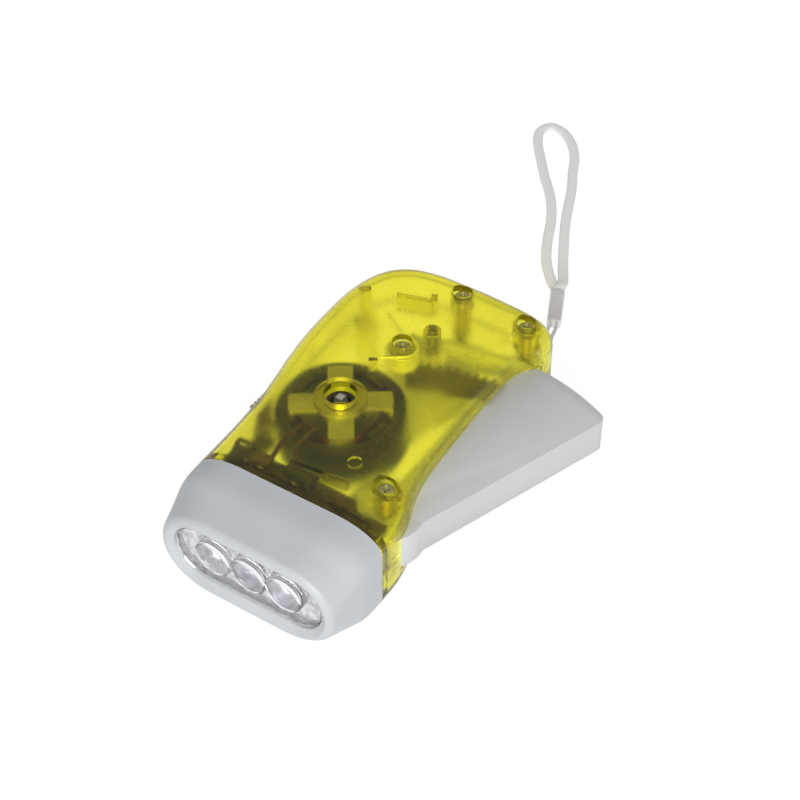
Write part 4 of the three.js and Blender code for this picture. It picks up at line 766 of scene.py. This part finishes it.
def ahead(obj):
    obj.data.transform(Matrix.Translation((0, -FORWARD * MM, 0)))
    return obj


CAP_FLARE = [(0, 0), (0.333, 0.48), (0.667, 0.93), (1, 1)]
FACE_WIDE, FACE_HIGH, FACE_ROUND, LIP = 24.4, 11.7, 1.8, 0.8


def cap_solid(name, inset, tail):
    """the head's outside, or a shell within it; its lip stands LIP ahead of the face of the other parts"""
    length = CAP_SEAM + FORWARD + LIP
    levels = [(s * FACE_ROUND, FACE_ROUND * (1 - math.sqrt(1 - (1 - s) ** 2))) for s in (i / 8 for i in range(9))]
    steps = 40
    levels += [(FACE_ROUND + (length - FACE_ROUND) * i / steps, 0) for i in range(1, steps + 1)]
    curve = catmull([(x, y, 0) for x, y in CAP_FLARE], 30)
    rings = []
    for y, drop_in in levels:
        flare = float(np.interp(y / length, curve[:, 0], curve[:, 1]))
        off = inset + drop_in
        wide = FACE_WIDE + (NECK - FACE_WIDE) * flare - off
        high = FACE_HIGH + (MIDDLE - FACE_HIGH) * flare - off
        round_z = min(FACE_HIGH + (EDGE - FACE_HIGH) * flare - off, high - 0.02)
        round_x = FACE_TURN + (NECK_TURN - FACE_TURN) * flare - off
        low = 0.35 * (1 - flare)
        rings.append([(x, v, z - low) for x, v, z in rounded(wide, high, round_z, y - LIP, 14, round_x)])
    if tail:
        rings.append([(x, y + tail, z) for x, y, z in rings[-1]])
    return mesh_object(name, *skin(rings), GREY)


def head():
    cap = cap_solid("head_shell", 0, 0)
    inner = cap_solid("inner", FRONT_WALL, 1)
    combine(inner, [box("back", (-FAR, FRONT_WALL, -FAR), (FAR, FAR, FAR))], "INTERSECT")
    rings = []
    for y, d in ((-3, 3.2), (-0.9, 2.0), (-0.6, 1.6), (-0.1, 0.75), (0.15, 0.3), (0.3, 0.08), (0.45, 0), (8, 0)):
        rings.append(rounded(WINDOW_WIDE + d, WINDOW_HIGH + d, WINDOW_HIGH - 0.1 + d, y, 16))
    combine(cap, [inner, mesh_object("window", *skin(rings), GREY)], "DIFFERENCE")
    shade(cap, 40)
    return weigh(cap)


def lens():
    wide, high = WINDOW_WIDE - FIT, WINDOW_HIGH - FIT
    window = tunnel("lens_window", wide, high, 7.5, 0.75, LENS_BACK - FIT, LENS, edge=0.15)
    combine(window, [tunnel("flange", FLANGE_WIDE, FLANGE_HIGH, 8.9, FRONT_WALL + FIT, LENS_BACK, LENS)], "UNION")
    radius = DOME_PITCH / 2 + 0.15
    bulge = [(0, 0.05), *((radius * s, 0.85 - 0.8 * c) for s, c in quarter(16, 1)), (radius, 1.6), (0, 1.6)]
    dome = [(0, LENS_BACK - FIT), (radius, LENS_BACK - FIT)]
    dome += [(radius * s, LENS_BACK + 1.5 * c) for s, c in reversed(quarter(16, 1))] + [(0, LENS_BACK + 1.5)]
    for x in (-DOME_PITCH, 0, DOME_PITCH):
        for profile in (bulge, dome):
            combine(window, [turned("dome", profile, (x, MIDDLE), LENS, 64, "Y")], "UNION")
    shade(window, 30)
    return window


def reflector():
    body = tunnel("mirror", FLANGE_WIDE - FIT, FLANGE_HIGH - FIT, 8.6, REFLECTOR_LOW, REFLECTOR_HIGH, CHROME)
    wide, narrow, deep = DOME_PITCH / 2 + 0.3, LED_RADIUS + FIT, REFLECTOR_HIGH - REFLECTOR_LOW
    profile = [(0, REFLECTOR_LOW - 1), (wide, REFLECTOR_LOW - 1)]
    profile += [(wide + (narrow - wide) * s**1.8, REFLECTOR_LOW + deep * s) for s in (i / 12 for i in range(13))]
    profile += [(narrow, REFLECTOR_HIGH + 1), (0, REFLECTOR_HIGH + 1)]
    for x in (-PITCH, 0, PITCH):
        combine(body, [turned("cup", profile, (x, MIDDLE), CHROME, 64, "Y")], "DIFFERENCE")
    shade(body, 35)
    return body


def led(name, x):
    """a 5 mm LED, with its lit die and its two legs"""
    def part(part_name, profile, mat, count, side=0.0):
        return ahead(turned(part_name, profile, (x + side, MIDDLE), mat, count, "Y"))

    back, tip, radius, flange = LED_BACK, LED_TIP, LED_RADIUS, LED_RADIUS + 0.4
    fixed(part(name + "_die", [
        (0, tip + 3.1), (0.5, tip + 3.1), (0.75, tip + 2.8), (0.85, tip + 2.8), (0.85, tip + 3.5), (0.4, tip + 3.9),
        (0.3, back - 0.3), (0, back - 0.3),
    ], CHIP, 24))
    for side, end in ((-1, "_leg_a"), (1, "_leg_b")):
        leg = [(0, back), (0.3, back), (0.3, back + 2.6), (0, back + 2.6)]
        fixed(part(name + end, leg, STEEL, 12, side * LEG_APART))
    return part(name, [
        (0, tip), *((radius * s, tip + radius * (1 - c)) for s, c in quarter(14, 1)), (radius, REFLECTOR_HIGH + FIT),
        (flange, REFLECTOR_HIGH + FIT), (flange, back - 0.1), (flange - 0.1, back), (0, back),
    ], EPOXY, 48)


stand_in(ahead(head()), "head_cap")
stand_in(ahead(lens()), "front_lens")
stand_in(ahead(reflector()), "reflector")
for place, cad in ((-PITCH, "led_left"), (0, "led_middle"), (PITCH, "led_right")):
    stand_in(led("lamp" + cad[3:], place), cad)


# nodes that stay: their materials, smooth rounds and, where it is given, the width of a fine edge
def smooth_group():
    """shades every edge under the angle smooth"""
    group = bpy.data.node_groups.new("smooth_by_angle", "GeometryNodeTree")
    for way in ("INPUT", "OUTPUT"):
        group.interface.new_socket("Geometry", in_out=way, socket_type="NodeSocketGeometry")
    enter, leave = group.nodes.new("NodeGroupInput"), group.nodes.new("NodeGroupOutput")
    normal = group.nodes.new("GeometryNodeSetMeshNormal")
    normal.inputs["Remove Custom"].default_value = True
    angle = group.nodes.new("GeometryNodeInputMeshEdgeAngle")
    compare = group.nodes.new("FunctionNodeCompare")
    compare.data_type = "FLOAT"
    compare.operation = "LESS_THAN"
    compare.inputs[1].default_value = 28 * DEG
    faces = group.nodes.new("GeometryNodeSetShadeSmooth")
    edges = group.nodes.new("GeometryNodeSetShadeSmooth")
    edges.domain = "EDGE"
    connect(
        group, (enter.outputs[0], normal.inputs[0]), (normal.outputs[0], faces.inputs["Geometry"]),
        (faces.outputs[0], edges.inputs["Geometry"]), (angle.outputs[0], compare.inputs[0]),
        (compare.outputs[0], edges.inputs["Shade Smooth"]), (edges.outputs[0], leave.inputs[0]),
    )
    return group


SMOOTH = smooth_group()


def keep(name, mat, bevel=0.0):
    obj = nodes[name]
    weld = obj.modifiers.new("weld", "WELD")
    weld.merge_threshold = 0.000002
    if bevel:
        mod = obj.modifiers.new("edge", "BEVEL")
        mod.width = bevel * MM
        mod.segments = 2
        mod.limit_method = "ANGLE"
        mod.angle_limit = 40 * DEG
    obj.modifiers.new("smooth", "NODES").node_group = SMOOTH
    paint(obj, mat)


def painted_sector_shade():
    """painted shade: the toothed rim of the lever is made darker between two radii about the pivot"""
    tree = LEVER_GREY.node_tree
    shader = next(n for n in tree.nodes if n.type == "BSDF_PRINCIPLED")
    plastic = shader.inputs["Base Color"].links[0].from_socket
    lever = nodes["squeeze_lever"]
    centre = lever.matrix_world.inverted() @ Vector(to_frame([(PIVOT[0], PIVOT[1], MIDDLE)])[0])
    coords = tree.nodes.new("ShaderNodeTexCoord").outputs["Object"]
    flat, reach = tree.nodes.new("ShaderNodeVectorMath"), tree.nodes.new("ShaderNodeVectorMath")
    flat.operation, reach.operation = "MULTIPLY", "DISTANCE"
    flat.inputs[1].default_value = (1, 1, 0)
    reach.inputs[1].default_value = (centre[0], centre[1], 0)
    side = tree.nodes.new("ShaderNodeSeparateXYZ")
    connect(tree, (coords, flat.inputs[0]), (flat.outputs[0], reach.inputs[0]), (coords, side.inputs[0]))
    ramp = tree.nodes.new("ShaderNodeValToRGB")
    ramp.color_ramp.interpolation = "EASE"
    low, high = 0.040, 0.056
    for k, (radius, value) in enumerate(((0.0432, 0), (0.0450, 1), (0.0530, 1), (0.0536, 0))):
        place = (radius - low) / (high - low)
        mark = ramp.color_ramp.elements[k] if k < 2 else ramp.color_ramp.elements.new(place)
        mark.position = place
        mark.color = (value, value, value, 1)
    tree.links.new(spread(tree, reach.outputs["Value"], 0.0, 1.0, low, high), ramp.inputs[0])
    inside = spread(tree, side.outputs[0], 0.0, 1.0, centre[0] + 0.0034, centre[0] - 0.002)
    mix = tree.nodes.new("ShaderNodeMix")
    mix.data_type = "RGBA"
    # painted shade: the dark colour that the lever's toothed rim is mixed towards
    mix.inputs["B"].default_value = (0.09, 0.08, 0.05, 1)
    connect(
        tree, (maths(tree, "MULTIPLY", ramp.outputs[0], inside), mix.inputs["Factor"]), (plastic, mix.inputs["A"]),
        (mix.outputs["Result"], shader.inputs["Base Color"]),
    )


# painted shade on the lever's toothed rim
painted_sector_shade()
for cad, mat, bevel in (
    ("squeeze_lever", LEVER_GREY, 0.3), ("drive_gear", NYLON, 0), ("clutch_wheel", NYLON, 0),
    ("clutch_pinion", NYLON, 0), ("rotor_pinion", NYLON, 0), ("flywheel", BLACK, 0.2), ("ring_magnet", MAGNET, 0),
    ("upper_claw", ZINC, 0.15), ("lower_claw", DARK_STEEL, 0.15), ("coil_bobbin", BLACK_NYLON, 0),
    ("stator_core", DARK_STEEL, 0.15), ("drive_gear_pin", STEEL, 0.12), ("clutch_pin", STEEL, 0.12),
    ("flywheel_pin", STEEL, 0.12), ("spring_spool", NYLON, 0.1), ("led_board", BOARD, 0),
    ("circuit_board", BOARD, 0.15), ("switch_body", DARK_STEEL, 0.2), ("switch_knob", GRIP, 0.25),
):
    keep(cad, mat, bevel)


def knob_grip():
    """the thumb piece on the knob, with three grooves across the way it slides"""
    outer, inner, middle, low, high = -28.95, -27.9, 43.0, 9.4, 20.6
    grip = box("knob_grip", (outer, middle - 2.8, low), (inner, middle + 2.8, high), GRIP)
    for y in (middle - 1.4, middle, middle + 1.4):
        groove = box("groove", (outer - 1, y - 0.3, low - 1), (outer + 0.35, y + 0.3, high + 1), GRIP)
        combine(grip, [groove], "DIFFERENCE")
    shade(grip, 30)
    return grip


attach(knob_grip(), "switch")


# return spring, leads and winding, on the routes of their solids
def return_spring():
    radius, thick, low, pitch = SPRING_RADIUS, WIRE_RADIUS, 20.68, 1.25
    pin = from_pivot(57.85, 26.499)  # of the lever, which the free leg leans on
    dx, dy = pin[0] - SPOOL[0], pin[1] - SPOOL[1]
    leg = math.atan2(dy, dx) / DEG + math.asin((radius + thick + 1 + FIT) / math.hypot(dx, dy)) / DEG
    first = leg - 90
    start = polar(SPOOL, radius, first)
    line = [(*polar(start, 4.4 * radius * s, leg), low + thick) for s in (1, 0.75, 0.5, 0.25, 0.1)]
    wound, steps = 3 * 360 + (first - 305) % 360, 200
    for turn in (wound * i / steps for i in range(steps + 1)):
        line.append((*polar(SPOOL, radius, first - turn), low + thick + pitch * turn / 360))
    end, top = line[-1][:2], line[-1][2]
    line += [(*polar(end, 1.6 * radius * s, 215), top) for s in (0.1, 0.4, 0.7, 1)]
    return swept("spring_wire", np.array(line), oval(2 * thick, 2 * thick, 12, 2.0), SPRING_WIRE)


def winding():
    """the coil: layers of enamelled wire, seen as close turns on its outside"""
    inner, outer, low, high, turns = 4.8, 10.06, 16.1, 21.4, 13
    profile = [(inner, low)]
    for n in range(turns):
        for a in (math.pi * k / 5 for k in range(6)):
            up = (n + (1 - math.cos(a)) / 2) / turns
            profile.append((outer - 0.2 + 0.2 * math.sin(a), low + (high - low) * up))
    profile.append((inner, high))
    rings = [[(x, y, z) for x, y in ring(HUB, r, 64)] for r, z in profile]
    return mesh_object("wound_coil", *looped(rings), COPPER, 80)


stand_in(return_spring(), "return_spring")
stand_in(winding(), "coil_winding")
CIRCUIT_TOP, CIRCUIT_BACK = 21.3, 0.243 * LENGTH + 1.7
ON_BOARD = CIRCUIT_TOP + 0.6


def lead(name, route, cad, mat):
    """a wire, and the drop of solder that holds it on the board"""
    stand_in(wire(name, route, 48, 1.2, 14, mat), cad)
    drop_line = ((0, -0.02), (0.95, -0.02), (0.85, 0.25), (0.6, 0.65), (0.3, 0.95), (0, 1.0))
    fixed(turned(name + "_joint", [(r, CIRCUIT_TOP + z) for r, z in drop_line], route[-1][:2], STEEL, 20))


def leads():
    for side, cad, mat, slot in (
        (-1, "coil_lead_left", RED, "red_wire"), (1, "coil_lead_right", ORANGE, "orange_wire"),
    ):
        lead("wire" + cad[4:], [
            (*polar(HUB, 10.36, 260 + side * 8), 23.25), (*polar(HUB, 14.46, 260 + side * 7), 23.05),
            (*polar(HUB, 18.46, 260 + side * 6), 22.45), (HUB[0] + side * 4, CIRCUIT_BACK, ON_BOARD + 0.45),
            (HUB[0] + side * 5, CIRCUIT_BACK - 4, ON_BOARD),
        ], cad, mat)
    x = SWITCH_WALL + 5.1
    for side, cad, mat, slot in (
        (1, "switch_lead_upper", RED, "red_wire"), (-1, "switch_lead_lower", BLACK_WIRE, "black_wire"),
    ):
        y = SWITCH_Y - 2.15 + side
        lead("wire" + cad[6:], [
            (x, y, 15.95), (x, y - 1, 17.95), (x - side, y + (CIRCUIT_BACK - y) * 0.6, CIRCUIT_TOP - 1),
            (x + 1 - 2 * side, CIRCUIT_BACK, ON_BOARD + 0.45), (x + 2 - 2 * side, CIRCUIT_BACK - 4, ON_BOARD),
        ], cad, mat)


leads()


def lying(name, centre, radius, length, turn, mat):
    """a round part that lies on the circuit board, with its two wire ends"""
    def at(along, high):
        return (*polar(centre, along, turn), high)

    z = CIRCUIT_TOP + radius + 0.1
    ends = np.array([at(-length / 2, z), at(length / 2, z)])
    fixed(swept(name, even(ends, 2), oval(2 * radius, 2 * radius, 28, 2.0), mat))
    for side, end_name in ((-1, "_end_a"), (1, "_end_b")):
        end = side * (length / 2 + 1.6)
        line = [at(side * length / 2, z), at(end - side * 0.4, z), at(end, z - 0.4)]
        line.append(at(end + side * 0.3, CIRCUIT_TOP + 0.2))
        fixed(wire(name + end_name, line, 12, 0.5, 8, DARK_STEEL))


# dark parts on the board: components, and painted shade that makes the board's dark region larger
def board_parts_and_shade():
    lying("board_part_a", (-2.2, 24.9), 1.9, 8.0, -6, BLACK)
    lying("board_part_b", (-13.6, 24.6), 1.5, 5.2, 14, BROWN)
    lying("board_part_c", (9.6, 23.4), 1.3, 4.6, -38, BROWN)
    lying("board_part_d", (-5.0, 19.6), 1.2, 4.4, 4, BLACK)
    fixed(box("board_chip", (-21.6, 20.6, CIRCUIT_TOP), (-17.4, 25.2, CIRCUIT_TOP + 1.7), BLACK))


def painted_shade_ring():
    """painted shade: a black ring round the squared end of the core, in the mouth of the hub, where the gap is in
    shade; and the core's squared end
    """
    low, top = CLAW_TOP + 0.05, CLAW_TOP + 0.9
    profile = [(2.5, low), (3.85, low), (3.85, top - 0.3), (3.55, top), (2.7, top), (2.5, top - 0.2)]
    rings = [[(x, y, z) for x, y in ring(HUB, r)] for r, z in profile]
    # painted shade: a black ring where the gap round the core's end is in shade
    fixed(mesh_object("painted_shade_ring", *looped(rings), BLACK_NYLON))
    (x, y), z, half = HUB, TOP_IN + FIT, 0.95
    fixed(box("core_end", (x - half, y - half, z - 0.05), (x + half, y + half, z + 0.2), ZINC))


board_parts_and_shade()
# the painted shade ring round the core's end, and the core's end
painted_shade_ring()


def screw(name, centre, tip, cad):
    """a pan-head screw with a cross recess and a thread"""
    top, under, side = SCREW_TOP - FIT, SCREW_TOP - HEAD_HIGH, 0.55
    profile = [(0, tip), (0.4, tip), (1.0, tip + 0.9)]
    z, pitch = tip + 0.9, 0.55
    while z < under - 0.5:
        profile += [(1.28, z + 0.22), (1.0, z + 0.5)]
        z += pitch
    profile += [(1.0, under), (HEAD_WIDE - 0.08, under), (HEAD_WIDE, under + 0.1), (HEAD_WIDE, under + side)]
    profile += [(HEAD_WIDE - 0.9 * (1 - c), under + side + (top - under - side) * s) for s, c in quarter(6, 1)]
    body = turned(name, [*profile, (0, top)], centre, SCREW_STEEL, 40, smooth=32)
    bars = []
    for angle in (25, 115):
        rings = []
        for wide, thin, z in ((0.55, 0.16, top - 0.95), (1.3, 0.3, top + 0.05)):
            corners = ((wide, thin), (-wide, thin), (-wide, -thin), (wide, -thin))
            rings.append([(*polar(polar(centre, a, angle), b, angle + 90), z) for a, b in corners])
        bars.append(mesh_object("bar", *skin(rings), SCREW_STEEL))
    combine(body, bars, "DIFFERENCE")
    shade(body, 32)
    stand_in(body, cad)


screw("screw_pivot", PIVOT, MIDDLE, "pivot_screw")
screw("screw_tail_middle", TAIL_MIDDLE, MIDDLE - 6, "tail_screw_middle")
screw("screw_tail_right", TAIL_RIGHT, MIDDLE - 6, "tail_screw_right")
screw("screw_spool", SPOOL, 21.92, "spool_screw")


# floor, light and world
def stage():
    """a white floor that keeps the shadow, and an even white surround"""
    mat, tree, shader, out = new_material("floor_white")
    shader.inputs["Base Color"].default_value = (0.9, 0.9, 0.9, 1)
    shader.inputs["Roughness"].default_value = 0.9
    shader.inputs["Specular IOR Level"].default_value = 0.1
    glow = node(tree, "ShaderNodeEmission", Color=(1, 1, 1, 1), Strength=1.08)
    ray = tree.nodes.new("ShaderNodeLightPath").outputs
    seen = maths(tree, "MAXIMUM", ray["Is Camera Ray"], ray["Is Glossy Ray"])
    seen = maths(tree, "MAXIMUM", seen, ray["Is Transmission Ray"])
    mixed(tree, maths(tree, "MULTIPLY", seen, 0.85), shader, glow, out)
    reach = 1.5
    mesh = bpy.data.meshes.new("floor")
    corners = [(-reach, -reach, 0), (reach, -reach, 0), (reach, reach, 0), (-reach, reach, 0)]
    mesh.from_pydata(corners, [], [(0, 1, 2, 3)])
    floor = bpy.data.objects.new("floor", mesh)
    floor.location.z = -0.00005
    mesh.materials.append(mat)
    bpy.context.scene.collection.objects.link(floor)

    world = bpy.data.worlds.new("studio")
    bpy.context.scene.world = world
    world.use_nodes = True
    tree = world.node_tree
    tree.nodes.clear()
    out = tree.nodes.new("ShaderNodeOutputWorld")
    soft = node(tree, "ShaderNodeBackground", Color=(1, 1, 1, 1), Strength=0.45)
    white = node(tree, "ShaderNodeBackground", Color=(1, 1, 1, 1), Strength=1.0)
    mixed(tree, tree.nodes.new("ShaderNodeLightPath").outputs["Is Camera Ray"], soft, white, out)


def lamp(name, place, size, power):
    """a round soft lamp that faces the object"""
    data = bpy.data.lights.new(name, "AREA")
    data.shape = "DISK"
    data.size = size
    data.energy = power
    obj = bpy.data.objects.new(name, data)
    obj.location = place
    obj.rotation_euler = (-Vector(place)).to_track_quat("-Z", "Y").to_euler()
    bpy.context.scene.collection.objects.link(obj)


stage()
lamp("key", (0.45, -0.75, 0.5), 0.7, 8.0)
bpy.context.scene.view_settings.view_transform = "Standard"

bpy.context.view_layer.update()
